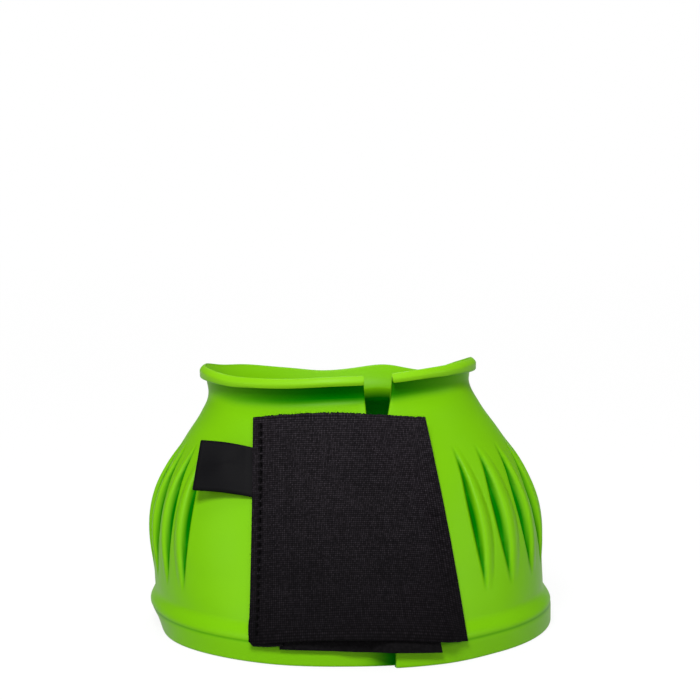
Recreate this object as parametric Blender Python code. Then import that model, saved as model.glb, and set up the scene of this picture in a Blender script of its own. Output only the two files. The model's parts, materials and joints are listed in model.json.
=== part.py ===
# Ribbed rubber bell boot that wraps a horse's hoof and closes behind with a double lap of tape.
# Metres, +Z up. The hem stands on z = 0 and the closure faces -Y.
# Angles round the shell are ellipse angles: zero at -Y, a quarter turn at +X.

import math

import bmesh
import bpy
from mathutils import Vector
from mathutils.geometry import tessellate_polygon

# Shell
HEM_RADIUS = 0.0918
HEM_BAND_HEIGHT = 0.0100
HEM_BAND_PROUD = 0.0033
HEM_EDGE_BREAK = 0.0009
WALL = 0.0032
NECK_HALF_WIDTH = 0.0592
NECK_HALF_DEPTH = 0.0365
NECK_SHIFT = -0.0054
RIM_HEIGHT = 0.1142
RIM_RISE_BEHIND = 0.0044
RIM_RISE_RIGHT = 0.0018
RIM_DIP_ENDS = 0.0029
RIM_TWIST = 0.0009
RIM_RIPPLE = 0.0006
LIP_HEIGHT = 0.0085
LIP_CROWN = 0.0013
LIP_FLARE_SIDE = 0.0046
LIP_FLARE_FRONT = 0.0062

# How far the wall stands out from the neck, as a share of the way to the hem,
# against its height as a share of the way from the hem band up to the neck
SIDE_SHARES = (
    (0.00, 1.00), (0.15, 1.00), (0.30, 0.995), (0.43, 0.935), (0.55, 0.815),
    (0.66, 0.66), (0.78, 0.405), (0.89, 0.155), (1.00, 0.00),
)
FRONT_SHARES = (
    (0.00, 1.00), (0.10, 0.99), (0.26, 0.93), (0.43, 0.81), (0.62, 0.61),
    (0.80, 0.37), (0.93, 0.15), (1.00, 0.00),
)
REAR_SHARES = (
    (0.00, 1.00), (0.25, 0.775), (0.50, 0.535), (0.75, 0.295), (0.92, 0.13), (1.00, 0.00),
)

# Ribs
RIB_COUNT = 26
RIB_PITCH = math.radians(10.05)
LAST_RIB_ANGLE = math.radians(303.1)
# The first ribs beside the right end stand wider apart
WIDE_RIBS = 3
WIDE_RIBS_SPREAD = math.radians(7.2)
RIB_FOOT_HEIGHT = 0.0245
RIB_FOOT_RISE_BEHIND = 0.0015
RIB_TOP_HEIGHT = 0.0812
RIB_TOP_RISE_BEHIND = 0.0048
RIB_PROUD = 0.0020
RIB_GROOVE = 0.0015
RIB_TAPER_POWER = 0.65
# From a rib's centre line, as shares of the pitch: the edge of its crest, the bottom of the
# groove beside it, and where the wall is plain again
RIB_CREST_SHARE = 0.085
RIB_GROOVE_SHARE = 0.225
RIB_PLAIN_SHARE = 0.430

# Slit and lapped ends
SLIT_RIGHT_X = 0.0182
SLIT_LEFT_X_AT_RIM = 0.0063
SLIT_LEFT_X_AT_HEM = 0.0360
SLIT_CURVE_POWER = 1.5
LAP_OUT = 0.0022
LAP_IN = 0.0014
LAP_IN_MORE_AT_HEM = 0.0012
LAP_SKIVE = 0.0021
SKIVE_TOP = 0.0200
LAP_FULL_BELOW = 0.0600
LAP_GONE_ABOVE = 0.0960
LAP_OUT_ANGLES = (math.radians(25), math.radians(46))
LAP_IN_ANGLES = (math.radians(-25), math.radians(3))
SKIVE_ANGLES = (math.radians(25), math.radians(34))

# Closure tapes
SEAT_GAP = 0.0003
FLAP_GAP = 0.0006
PATCH_THICKNESS = 0.0010
STRAP_FACE_THICKNESS = 0.0011
FLAP_THICKNESS = 0.0014
STRIP_THICKNESS = 0.0011
BAND_CLEAR_HEIGHT = 0.0090

FLAP_LEFT_X_TOP = -0.0417
FLAP_LEFT_X_BOTTOM = -0.0400
FLAP_RIGHT_X_TOP = 0.0309
FLAP_RIGHT_X_BOTTOM = 0.0464
FLAP_TOP = 0.1019
FLAP_BOTTOM = 0.0123
FLAP_TOP_DROP = 0.0035
FLAP_BOTTOM_DROP = 0.0029
FLAP_HINGE_STANDOFF_TOP = 0.0058
FLAP_HINGE_STANDOFF_BOTTOM = 0.0070
FLAP_EDGE_BEND = 0.0072
FLAP_CLIMB_LEFT_X = -0.0200
FLAP_ROOT_WIDTH = 0.0060

PATCH_LEFT_X = 0.0200
PATCH_INSET = 0.0085
PATCH_TOP = 0.0895
PATCH_BOTTOM = 0.0145

STRAP_LEFT_X = -0.0290
STRAP_HINGE_X = 0.0030
STRAP_RIGHT_X_TOP = 0.0215
STRAP_RIGHT_X_BOTTOM = 0.0365
STRAP_TOP = 0.0945
STRAP_BOTTOM = 0.0074
STRAP_TOP_DROP = 0.0036
STRAP_BOTTOM_DROP = 0.0010
STRAP_CLIMB = 0.0120
STRAP_HINGE_STANDOFF = 0.0010

STRIP_WIDTH = 0.0085
STRIP_OVERHANG = 0.0006
STRIP_LOWER = 0.0014
STITCH_INSET = 0.0045
STITCH_PITCH = 0.0037
STITCH_MARGIN = 0.0030
THREAD_DIAMETER = 0.0006
THREAD_WAVE = 0.0002

TAB_LENGTH = 0.0240
TAB_TOP = 0.0883
TAB_BOTTOM = 0.0683
# The line that the tab turns on: out past the flap's free edge, and in behind its outer face
TAB_HINGE_OUT = 0.0009
TAB_HINGE_SINK = 0.0011
TAB_RISE = 0.0050
TAB_LAYER = 0.0008
TAB_SLOT = 0.0006
TAB_SWEEP = 0.0036
TAB_SPRING_ANGLE = math.radians(8)

# Mesh density
# Columns of one rib pitch where there are no ribs, spread evenly
EVEN_SHARES = (-0.3, -0.1, 0.1, 0.3, 0.5)
RIGHT_END_COLUMNS = 7
LEFT_END_COLUMNS = 12
WALL_ROWS = 12
LIP_ROWS = 3
INNER_WALL_ROWS = 6
TAPE_COLUMNS = 14
FLAP_ROOT_COLUMNS = 2
TAPE_ROW_SHARES = (0, 0.05, 0.10, 0.17, 0.28, 0.42, 0.56, 0.70, 0.82, 0.92, 1)
TAB_FOLD_STEPS = 4
THREAD_SIDES_RESOLUTION = 0

LIP_CROWN_STEPS = 4
ANGLE_PASSES = 4
RIB_PLACE_PASSES = 12
PROBE_ANGLE = 1e-3
PROBE_HEIGHT = 1e-5
FULL_TURN = 2 * math.pi
SHARP_ANGLE = math.radians(35)

# Colour and roughness of each material
LOOKS = {
    "rubber": ((0.270, 0.590, 0.004, 1.0), 0.45),
    "tape": ((0.012, 0.011, 0.012, 1.0), 0.85),
    "ribbon": ((0.010, 0.010, 0.012, 1.0), 0.40),
    "thread": ((0.008, 0.008, 0.009, 1.0), 0.60),
}


# General helpers

def mix(low, high, share):
    return low + (high - low) * share


def ease(low, high, value):
    share = min(max((value - low) / (high - low), 0), 1)
    return share * share * (3 - 2 * share)


def along(shares, place):
    """A smooth curve through a table of shares, level at its two ends."""
    place = min(max(place, shares[0][0]), shares[-1][0])
    last = len(shares) - 1
    index = max(i for i in range(last) if shares[i][0] <= place)
    slopes = []
    for i in (index, index + 1):
        if i in (0, last):
            slopes.append(0)
        else:
            run = shares[i + 1][0] - shares[i - 1][0]
            slopes.append((shares[i + 1][1] - shares[i - 1][1]) / run)
    (start, low), (end, high) = shares[index], shares[index + 1]
    run = end - start
    part = (place - start) / run
    rest = 1 - part
    return (
        (1 + 2 * part) * rest * rest * low
        + part * part * (3 - 2 * part) * high
        + part * rest * run * (rest * slopes[0] - part * slopes[1])
    )


# The smooth outer surface of the shell, without ribs, band or lap

def rim_height(angle):
    return (
        RIM_HEIGHT
        + RIM_RISE_BEHIND * math.cos(angle)
        + RIM_RISE_RIGHT * math.sin(angle)
        - RIM_DIP_ENDS * math.cos(2 * angle)
        + RIM_TWIST * math.sin(2 * angle)
        + RIM_RIPPLE * math.cos(4 * angle)
    )


def half_sizes(angle, height):
    """Half width, half depth and sideways shift of the oval that passes through this place."""
    neck = rim_height(angle) - LIP_HEIGHT
    body = HEM_RADIUS - HEM_BAND_PROUD
    depth_shares = REAR_SHARES if math.cos(angle) > 0 else FRONT_SHARES
    climb = (height - HEM_BAND_HEIGHT) / (neck - HEM_BAND_HEIGHT)
    flare = max(height - neck, 0) / LIP_HEIGHT
    width = mix(NECK_HALF_WIDTH, body, along(SIDE_SHARES, climb))
    depth = mix(NECK_HALF_DEPTH, body, along(depth_shares, climb))
    width += LIP_FLARE_SIDE * flare * flare
    depth += LIP_FLARE_FRONT * flare * flare
    return width, depth, NECK_SHIFT * min(max(climb, 0), 1)


def smooth_point(angle, height):
    width, depth, shift = half_sizes(angle, height)
    return Vector((shift + width * math.sin(angle), -depth * math.cos(angle), height))


def outward(angle, height):
    """Unit normal of the smooth surface. The hem stands upright, so there it is level."""
    around = smooth_point(angle + PROBE_ANGLE, height) - smooth_point(angle - PROBE_ANGLE, height)
    rise = Vector((0, 0, 1))
    if height > HEM_BAND_HEIGHT:
        rise = smooth_point(angle, height + PROBE_HEIGHT) - smooth_point(angle, height - PROBE_HEIGHT)
    return around.cross(rise).normalized()


def angle_at(x, height):
    """The angle, on the closure side, at which the smooth surface passes this x."""
    angle = 0
    for _ in range(ANGLE_PASSES):
        width, _, shift = half_sizes(angle, height)
        angle = math.asin(min(max((x - shift) / width, -1), 1))
    return angle


# Slit, lap and ribs

def right_edge_angle(height):
    return angle_at(SLIT_RIGHT_X, height)


def left_edge_angle(height):
    drop = min(max((RIM_HEIGHT - height) / RIM_HEIGHT, 0), 1)
    x = mix(SLIT_LEFT_X_AT_RIM, SLIT_LEFT_X_AT_HEM, drop ** SLIT_CURVE_POWER)
    return angle_at(x, height)


def lap_strength(height):
    return 1 - ease(LAP_FULL_BELOW, LAP_GONE_ABOVE, height)


def right_lift(angle, height):
    return LAP_OUT * lap_strength(height) * (1 - ease(*LAP_OUT_ANGLES, angle))


def left_sink(angle, height):
    depth = LAP_IN + LAP_IN_MORE_AT_HEM * (1 - ease(HEM_BAND_HEIGHT, SKIVE_TOP, height))
    return depth * lap_strength(height) * ease(*LAP_IN_ANGLES, angle)


def rib_angle(place):
    """The angle of a place among the ribs, counted in ribs from the first one's centre line."""
    spread = WIDE_RIBS_SPREAD * ease(0, WIDE_RIBS, WIDE_RIBS - place)
    return LAST_RIB_ANGLE - (RIB_COUNT - 1 - place) * RIB_PITCH - spread


def rib_place(angle):
    place = 0
    for _ in range(RIB_PLACE_PASSES):
        place += (angle - rib_angle(place)) / RIB_PITCH
    return place


def rib_relief(angle, height):
    place = rib_place(angle)
    nearest = round(place)
    if nearest < 0 or nearest >= RIB_COUNT:
        return 0
    behind = math.cos(rib_angle(nearest))
    foot = RIB_FOOT_HEIGHT + RIB_FOOT_RISE_BEHIND * behind
    top = RIB_TOP_HEIGHT + RIB_TOP_RISE_BEHIND * behind
    span = (height - foot) / (top - foot)
    if span <= 0 or span >= 1:
        return 0
    off_centre = abs(place - nearest)
    crest = ease(RIB_GROOVE_SHARE, RIB_CREST_SHARE, off_centre)
    trough = 1 - ease(RIB_GROOVE_SHARE, RIB_PLAIN_SHARE, off_centre)
    taper = math.sin(math.pi * span) ** RIB_TAPER_POWER
    return taper * (crest * (RIB_PROUD + RIB_GROOVE) - trough * RIB_GROOVE)


def shell_lift(angle, height):
    """Lap offset along the normal; angles run on past a full turn to the left end."""
    return right_lift(angle, height) - left_sink(angle - FULL_TURN, height)


def wall_thickness(angle, height):
    skive = (1 - ease(*SKIVE_ANGLES, angle)) * (1 - ease(HEM_BAND_HEIGHT, SKIVE_TOP, height))
    return WALL - LAP_SKIVE * skive


# Mesh helpers

def material(name):
    made = bpy.data.materials.get(name)
    if made is None:
        made = bpy.data.materials.new(name)
        made.use_nodes = True
        shader = made.node_tree.nodes["Principled BSDF"]
        colour, roughness = LOOKS[name]
        shader.inputs["Base Color"].default_value = colour
        shader.inputs["Roughness"].default_value = roughness
        shader.inputs["Metallic"].default_value = 0
        made.diffuse_color = colour
    return made


def add_object(name, points, faces, look, pivot=None):
    """One closed mesh, its normals turned outward and its origin on its joint's axis."""
    origin = pivot if pivot is not None else Vector((0, 0, 0))
    mesh = bpy.data.meshes.new(name)
    mesh.from_pydata([tuple(p - origin) for p in points], [], faces)
    shape = bmesh.new()
    shape.from_mesh(mesh)
    bmesh.ops.recalc_face_normals(shape, faces=shape.faces)
    shape.to_mesh(mesh)
    shape.free()
    mesh.materials.append(material(look))
    mesh.shade_smooth()
    mesh.set_sharp_from_angle(angle=SHARP_ANGLE)
    made = bpy.data.objects.new(name, mesh)
    made.location = origin
    bpy.context.scene.collection.objects.link(made)
    return made


def slab(inner, outer):
    """Points and faces of a sheet with thickness, from two equal grids of points."""
    rows, columns = len(inner), len(inner[0])
    points = [p for row in inner for p in row] + [p for row in outer for p in row]
    back = rows * columns

    def at(row, column, layer):
        return row * columns + column + layer * back

    faces = []
    for r in range(rows - 1):
        for c in range(columns - 1):
            faces.append((at(r, c, 0), at(r + 1, c, 0), at(r + 1, c + 1, 0), at(r, c + 1, 0)))
            faces.append((at(r, c, 1), at(r, c + 1, 1), at(r + 1, c + 1, 1), at(r + 1, c, 1)))
    edge = [(0, c) for c in range(columns)]
    edge += [(r, columns - 1) for r in range(1, rows)]
    edge += [(rows - 1, c) for c in range(columns - 2, -1, -1)]
    edge += [(r, 0) for r in range(rows - 2, 0, -1)]
    for (r, c), (next_r, next_c) in zip(edge, edge[1:] + edge[:1]):
        faces.append((at(r, c, 0), at(next_r, next_c, 0), at(next_r, next_c, 1), at(r, c, 1)))
    return points, faces


# Shell: columns round the boot, each a closed section through the wall

def column_shares(height):
    """Where one pitch's columns stand: on the ribs' edges, and evenly above and below the ribs."""
    ribbed = ease(HEM_BAND_HEIGHT, RIB_FOOT_HEIGHT, height)
    ribbed -= ease(RIB_TOP_HEIGHT, RIM_HEIGHT - LIP_HEIGHT, height)
    on_rib = (-RIB_GROOVE_SHARE, -RIB_CREST_SHARE, RIB_CREST_SHARE, RIB_GROOVE_SHARE, 1 / 2)
    return [mix(even, share, ribbed) for even, share in zip(EVEN_SHARES, on_rib)]


def shell_angles(height):
    """Angles of the columns: the slanted right end, five columns to a rib, the slanted left end."""
    shares = column_shares(height)
    angles = []
    start = right_edge_angle(height)
    first = rib_angle(-1 / 2)
    for i in range(RIGHT_END_COLUMNS):
        angles.append(mix(start, first, i / RIGHT_END_COLUMNS))
    angles.append(first)
    for rib in range(RIB_COUNT):
        for share in shares:
            angles.append(rib_angle(rib + share))
    last = angles[-1]
    end = FULL_TURN + left_edge_angle(height)
    for i in range(LEFT_END_COLUMNS):
        angles.append(mix(last, end, (i + 1) / LEFT_END_COLUMNS))
    return angles


def shell_column(index):
    """The closed section at one column, from the outer foot up, over the lip and down inside."""
    points = []
    neck_base = RIM_HEIGHT - LIP_HEIGHT

    def place(height, out):
        angle = shell_angles(height)[index]
        lift = shell_lift(angle, height) + out(angle)
        return smooth_point(angle, height) + outward(angle, height) * lift

    def level(height):
        """A wall height as the share of its climb, so that rows follow the wavy rim."""
        angle = shell_angles(height)[index]
        neck = rim_height(angle) - LIP_HEIGHT
        climb = (height - HEM_BAND_HEIGHT) / (neck_base - HEM_BAND_HEIGHT)
        return mix(HEM_BAND_HEIGHT, neck, climb)

    band = HEM_BAND_PROUD
    points.append(place(0, lambda a: band - HEM_EDGE_BREAK))
    points.append(place(HEM_EDGE_BREAK, lambda a: band))
    points.append(place(HEM_BAND_HEIGHT - HEM_EDGE_BREAK, lambda a: band))
    points.append(place(HEM_BAND_HEIGHT, lambda a: band - HEM_EDGE_BREAK))
    foot = HEM_BAND_HEIGHT + HEM_EDGE_BREAK / 2
    for row in range(WALL_ROWS + 1):
        height = level(mix(foot, neck_base, row / WALL_ROWS))
        points.append(place(height, lambda a: rib_relief(a, height)))
    angle = shell_angles(neck_base)[index]
    rim = rim_height(angle) - LIP_CROWN
    neck = rim_height(angle) - LIP_HEIGHT
    for row in range(LIP_ROWS):
        points.append(place(mix(neck, rim, (row + 1) / LIP_ROWS), lambda a: 0))
    outer_edge = points[-1]
    inner_edge = place(rim, lambda a: -WALL)
    up_lip = (points[-1] - points[-2]).normalized()
    for step in range(1, LIP_CROWN_STEPS):
        turn = math.pi * step / LIP_CROWN_STEPS
        across = mix(outer_edge, inner_edge, (1 - math.cos(turn)) / 2)
        points.append(across + up_lip * LIP_CROWN * math.sin(turn))
    points.append(inner_edge)
    for row in range(LIP_ROWS - 1, 0, -1):
        points.append(place(mix(neck, rim, row / LIP_ROWS), lambda a: -WALL))
    for row in range(INNER_WALL_ROWS, -1, -1):
        height = level(mix(HEM_BAND_HEIGHT, neck_base, row / INNER_WALL_ROWS))
        points.append(place(height, lambda a: -wall_thickness(a, height)))
    points.append(place(0, lambda a: -wall_thickness(a, 0)))
    return points


def build_shell():
    columns = [shell_column(i) for i in range(len(shell_angles(0)))]
    rows = len(columns[0])
    points = [p for column in columns for p in column]
    faces = []
    for c in range(len(columns) - 1):
        for r in range(rows):
            above = (r + 1) % rows
            near, far = c * rows, (c + 1) * rows
            faces.append((near + r, far + r, far + above, near + above))
    for c in (0, len(columns) - 1):
        section = [Vector((math.hypot(p.x, p.y), p.z, 0)) for p in columns[c]]
        for triangle in tessellate_polygon([section]):
            faces.append(tuple(c * rows + corner for corner in triangle))
    return add_object("shell", points, faces, "rubber")


# Closure: every tape follows the lapped ends at its own distance above them

def band_rise(height):
    return HEM_BAND_PROUD * (1 - ease(HEM_BAND_HEIGHT, HEM_BAND_HEIGHT + BAND_CLEAR_HEIGHT, height))


def strap_seat(x, height):
    """Offset of the under strap's inner face: on the left end, then over the anchor patch.
    It lifts a little at the hinge, whose straight line would cut into the bellied wall."""
    angle = angle_at(x, height)
    on_left = -left_sink(angle, height)
    on_right = right_lift(angle, height) + PATCH_THICKNESS + SEAT_GAP
    over = ease(SLIT_RIGHT_X - STRAP_CLIMB, SLIT_RIGHT_X - SEAT_GAP, x)
    at_hinge = STRAP_HINGE_STANDOFF * (1 - ease(0, STRAP_CLIMB, abs(x - STRAP_HINGE_X)))
    return mix(on_left, on_right, over) + at_hinge + band_rise(height) + SEAT_GAP


def flap_seat(x, height):
    """Offset of the outer flap's inner face: on its strip, then up over the strap."""
    strip = STRIP_THICKNESS + SEAT_GAP + 2 * FLAP_GAP
    strap = 2 * (STRAP_FACE_THICKNESS + SEAT_GAP) + FLAP_GAP
    root = mix(strip, strap, ease(FLAP_LEFT_X_TOP, STRAP_LEFT_X, x))
    patch = LAP_OUT * lap_strength(height) + PATCH_THICKNESS + SEAT_GAP
    return root + patch * ease(FLAP_CLIMB_LEFT_X, SLIT_RIGHT_X, x) + band_rise(height)


def off_shell(x, height, lift):
    angle = angle_at(x, height)
    return smooth_point(angle, height) + outward(angle, height) * lift


def side_share(x, left, right):
    """From minus one at a tape's left edge to one at its right edge."""
    return (2 * x - left - right) / (right - left)


def tape_grid(left_x, right_x, bottom, top, seat, fall, columns=TAPE_COLUMNS):
    """Points on a tape's face, whose edges fall away as a straight tape's do round a cone."""
    grid = []
    for up in TAPE_ROW_SHARES:
        points = []
        for column in range(columns + 1):
            x = mix(left_x(up), right_x(up), column / columns)
            height = mix(bottom, top, up) - fall(x, up)
            points.append(off_shell(x, height, seat(x, height)))
        grid.append(points)
    return grid


def straighten(grid, column, reach):
    """Bend a tape so that one edge column lies on a straight line, for its hinge."""
    start, end = grid[0][column], grid[-1][column]
    moves = [mix(start, end, up) - points[column] for up, points in zip(TAPE_ROW_SHARES, grid)]
    straight = []
    for points, move in zip(grid, moves):
        edge = points[column]
        straight.append([p + move * (1 - ease(0, reach, (p - edge).length)) for p in points])
    return straight


def thicken(grid, thickness):
    """The second face of a tape, a thickness further out along the grid's own normals."""
    rows, columns = len(grid), len(grid[0])
    outer = []
    for r in range(rows):
        points = []
        for c in range(columns):
            across = grid[r][min(c + 1, columns - 1)] - grid[r][max(c - 1, 0)]
            rise = grid[min(r + 1, rows - 1)][c] - grid[max(r - 1, 0)][c]
            points.append(grid[r][c] + across.cross(rise).normalized() * thickness)
        outer.append(points)
    return outer


def flap_left_x(up):
    return mix(FLAP_LEFT_X_BOTTOM, FLAP_LEFT_X_TOP, up)


def flap_right_x(up):
    return mix(FLAP_RIGHT_X_BOTTOM, FLAP_RIGHT_X_TOP, up)


def flap_fall(x, up):
    side = side_share(x, flap_left_x(up), flap_right_x(up))
    return mix(FLAP_BOTTOM_DROP, FLAP_TOP_DROP, up) * side * side


def flap_face():
    """The outer flap's inner face, with the edge that it hinges on made straight."""
    def seat(x, height):
        edge = flap_right_x(height / FLAP_TOP)
        settle = ease(edge - FLAP_EDGE_BEND, edge, x)
        standoff = mix(FLAP_HINGE_STANDOFF_BOTTOM, FLAP_HINGE_STANDOFF_TOP, height / FLAP_TOP)
        return mix(flap_seat(x, height), standoff, settle)

    grid = tape_grid(flap_left_x, flap_right_x, FLAP_BOTTOM, FLAP_TOP, seat, flap_fall)
    return straighten(grid, -1, FLAP_EDGE_BEND)


def build_flap():
    inner = flap_face()
    outer = thicken(inner, FLAP_THICKNESS)
    outer = straighten(outer, -1, FLAP_EDGE_BEND)
    low, high = outer[0][-1], outer[-1][-1]
    points, faces = slab(inner, outer)
    add_object("outer_flap", points, faces, "tape", pivot=low)
    return inner, outer, low, high


def build_flap_root(flap_inner):
    """The end of the flap's tape, turned under along the hinge and bonded to the shell."""
    def left_x(up):
        return flap_right_x(up) - FLAP_ROOT_WIDTH

    def seat(x, height):
        return right_lift(angle_at(x, height), height) + band_rise(height) + SEAT_GAP

    on_shell = tape_grid(
        left_x, flap_right_x, FLAP_BOTTOM, FLAP_TOP, seat, flap_fall, FLAP_ROOT_COLUMNS
    )
    under_flap = []
    for row, feet in zip(flap_inner, on_shell):
        lines = []
        for column, foot in enumerate(feet):
            reach = mix(FLAP_ROOT_WIDTH, 0, column / FLAP_ROOT_COLUMNS)
            on_flap = point_across(row[::-1], reach)
            lines.append(on_flap + (foot - on_flap).normalized() * SEAT_GAP)
        under_flap.append(lines)
    points, faces = slab(on_shell, under_flap)
    add_object("flap_root", points, faces, "tape")


def build_strip(flap_inner, hinge):
    """The second layer sewn behind the flap's free edge; it shows past the edge and below."""
    inner = []
    outer = []
    along_edge = (flap_inner[-1][0] - flap_inner[0][0]).normalized()
    for row, points in enumerate(flap_inner):
        across = (points[1] - points[0]).normalized()
        normal = across.cross(along_edge).normalized()
        lower = STRIP_LOWER if row == 0 else 0
        lines = []
        for share in (0, 1 / 2, 1):
            reach = mix(-STRIP_OVERHANG, STRIP_WIDTH, share)
            on_flap = point_across(points, reach)
            lines.append(on_flap - normal * SEAT_GAP - along_edge * lower)
        outer.append(lines)
        inner.append([p - normal * STRIP_THICKNESS for p in lines])
    points, faces = slab(inner, outer)
    add_object("flap_edge_strip", points, faces, "tape", pivot=hinge)


def point_across(points, reach):
    """The point a given length along one row of a grid, run on straight past its start."""
    if reach <= 0:
        return points[0] + (points[1] - points[0]).normalized() * reach
    for near, far in zip(points, points[1:]):
        step = (far - near).length
        if reach <= step:
            return mix(near, far, reach / step)
        reach -= step
    return points[-1]


def point_up(edge, height):
    """The point of a tape's side edge at this height."""
    for low, high in zip(edge, edge[1:]):
        if high.z > height:
            break
    return mix(low, high, (height - low.z) / (high.z - low.z))


def build_stitching(flap_outer, hinge):
    """One unbroken thread down the free edge, rising and dipping at each stitch."""
    line = [point_across(row, STITCH_INSET) for row in flap_outer]
    across = (flap_outer[0][1] - flap_outer[0][0]).normalized()
    normal = across.cross((line[-1] - line[0]).normalized()).normalized()
    length = (line[-1] - line[0]).length - 2 * STITCH_MARGIN
    stitches = round(length / STITCH_PITCH)
    curve = bpy.data.curves.new("edge_stitching", "CURVE")
    curve.dimensions = "3D"
    curve.bevel_depth = THREAD_DIAMETER / 2
    curve.bevel_resolution = THREAD_SIDES_RESOLUTION
    curve.use_fill_caps = True
    spline = curve.splines.new("POLY")
    spline.points.add(2 * stitches)
    for i in range(2 * stitches + 1):
        share = (STITCH_MARGIN + length * i / (2 * stitches)) / (length + 2 * STITCH_MARGIN)
        row = max(r for r in range(len(line) - 1) if TAPE_ROW_SHARES[r] <= share)
        step = TAPE_ROW_SHARES[row + 1] - TAPE_ROW_SHARES[row]
        on_face = mix(line[row], line[row + 1], (share - TAPE_ROW_SHARES[row]) / step)
        crest = 2 * THREAD_WAVE if i % 2 else 0
        lift = SEAT_GAP + THREAD_DIAMETER / 2 + crest
        spline.points[i].co = (*(on_face + normal * lift - hinge), 1)
    curve.materials.append(material("thread"))
    made = bpy.data.objects.new("edge_stitching", curve)
    made.location = hinge
    bpy.context.scene.collection.objects.link(made)


def build_patch():
    """Tape bonded to the outside of the right end, where the under strap lands."""
    def left_x(up):
        return PATCH_LEFT_X

    def right_x(up):
        return flap_right_x(up) - PATCH_INSET

    def seat(x, height):
        return right_lift(angle_at(x, height), height) + SEAT_GAP

    inner = tape_grid(left_x, right_x, PATCH_BOTTOM, PATCH_TOP, seat, lambda x, up: 0)
    points, faces = slab(inner, thicken(inner, PATCH_THICKNESS))
    add_object("anchor_patch", points, faces, "tape")


def strap_right_x(up):
    return mix(STRAP_RIGHT_X_BOTTOM, STRAP_RIGHT_X_TOP, up)


def strap_layers(left_x, right_x, column):
    """Both faces of the under strap, sewn back to back, with its hinge edge made straight."""
    def fall(x, up):
        side = side_share(x, STRAP_LEFT_X, strap_right_x(up))
        return mix(STRAP_BOTTOM_DROP, STRAP_TOP_DROP, up) * side * side

    grid = tape_grid(left_x, right_x, STRAP_BOTTOM, STRAP_TOP, strap_seat, fall)
    grid = straighten(grid, column, STRAP_CLIMB)
    layers = [grid]
    for rise in (STRAP_FACE_THICKNESS, SEAT_GAP, STRAP_FACE_THICKNESS):
        layers.append(straighten(thicken(layers[-1], rise), column, STRAP_CLIMB))
    return layers


def build_under_strap():
    free = strap_layers(lambda up: STRAP_HINGE_X, strap_right_x, 0)
    low, high = free[3][0][0], free[3][-1][0]
    points, faces = slab(free[0], free[1])
    add_object("under_strap_inner_face", points, faces, "tape", pivot=low)
    points, faces = slab(free[2], free[3])
    add_object("under_strap_outer_face", points, faces, "tape", pivot=low)
    root = strap_layers(lambda up: STRAP_LEFT_X, lambda up: STRAP_HINGE_X - 2 * SEAT_GAP, -1)
    points, faces = slab(root[0], root[3])
    add_object("under_strap_root", points, faces, "tape")
    return low, high


def build_tab(flap_inner, flap_outer):
    """A ribbon folded on itself, sewn at the flap's free edge and rising a little off it."""
    edge = [row[0] for row in flap_outer]
    axis = (edge[-1] - edge[0]).normalized()
    middle = len(flap_inner) // 2
    across = (flap_inner[middle][0] - flap_inner[middle][1]).normalized()
    across = (across - axis * across.dot(axis)).normalized()
    normal = across.cross(axis).normalized()
    if normal.y > 0:
        normal = -normal
    across = across * math.cos(TAB_SPRING_ANGLE) + normal * math.sin(TAB_SPRING_ANGLE)
    normal = (normal - across * normal.dot(across)).normalized()
    hinge = point_up(edge, (TAB_BOTTOM + TAB_TOP) / 2)
    hinge += across * TAB_HINGE_OUT - normal * TAB_HINGE_SINK

    def on_hinge(height):
        return hinge + axis * ((height - hinge.z) / axis.z)

    half = TAB_LAYER + TAB_SLOT / 2
    section = [(2 * SEAT_GAP, -half), (TAB_LENGTH - half, -half)]
    for step in range(1, TAB_FOLD_STEPS):
        turn = math.pi * step / TAB_FOLD_STEPS
        section.append((TAB_LENGTH - half + half * math.sin(turn), -half * math.cos(turn)))
    section += [(TAB_LENGTH - half, half), (2 * SEAT_GAP, half)]
    section += [(2 * SEAT_GAP, TAB_SLOT / 2), (TAB_LENGTH - half, TAB_SLOT / 2)]
    section += [(TAB_LENGTH - half, -TAB_SLOT / 2), (2 * SEAT_GAP, -TAB_SLOT / 2)]
    sunk = FLAP_THICKNESS
    rings = []
    for height in (TAB_BOTTOM, TAB_TOP):
        base = on_hinge(height) - normal * sunk
        sweep = TAB_SWEEP if height == TAB_BOTTOM else 0
        ring = []
        for reach, out in section:
            share = reach / TAB_LENGTH
            ring.append(base + across * (reach + sweep * share) + axis * TAB_RISE * share + normal * out)
        rings.append(ring)
    count = len(section)
    points = rings[0] + rings[1]
    faces = [(i, (i + 1) % count, (i + 1) % count + count, i + count) for i in range(count)]
    for triangle in tessellate_polygon([[Vector((r, o, 0)) for r, o in section]]):
        faces.append(tuple(triangle))
        faces.append(tuple(corner + count for corner in reversed(triangle)))
    add_object("pull_tab", points, faces, "ribbon", pivot=on_hinge(TAB_BOTTOM))
    return on_hinge(TAB_BOTTOM), on_hinge(TAB_TOP)


def centre_on_origin():
    """Stand the whole boot over the origin, by the middle of its outline in plan."""
    bpy.context.view_layer.update()
    corners = []
    for made in bpy.context.scene.objects:
        corners += [made.matrix_world @ Vector(corner) for corner in made.bound_box]
    middle_x = (min(c.x for c in corners) + max(c.x for c in corners)) / 2
    middle_y = (min(c.y for c in corners) + max(c.y for c in corners)) / 2
    offset = Vector((middle_x, middle_y, 0))
    for made in bpy.context.scene.objects:
        made.location -= offset
    bpy.context.view_layer.update()
    return offset


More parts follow.
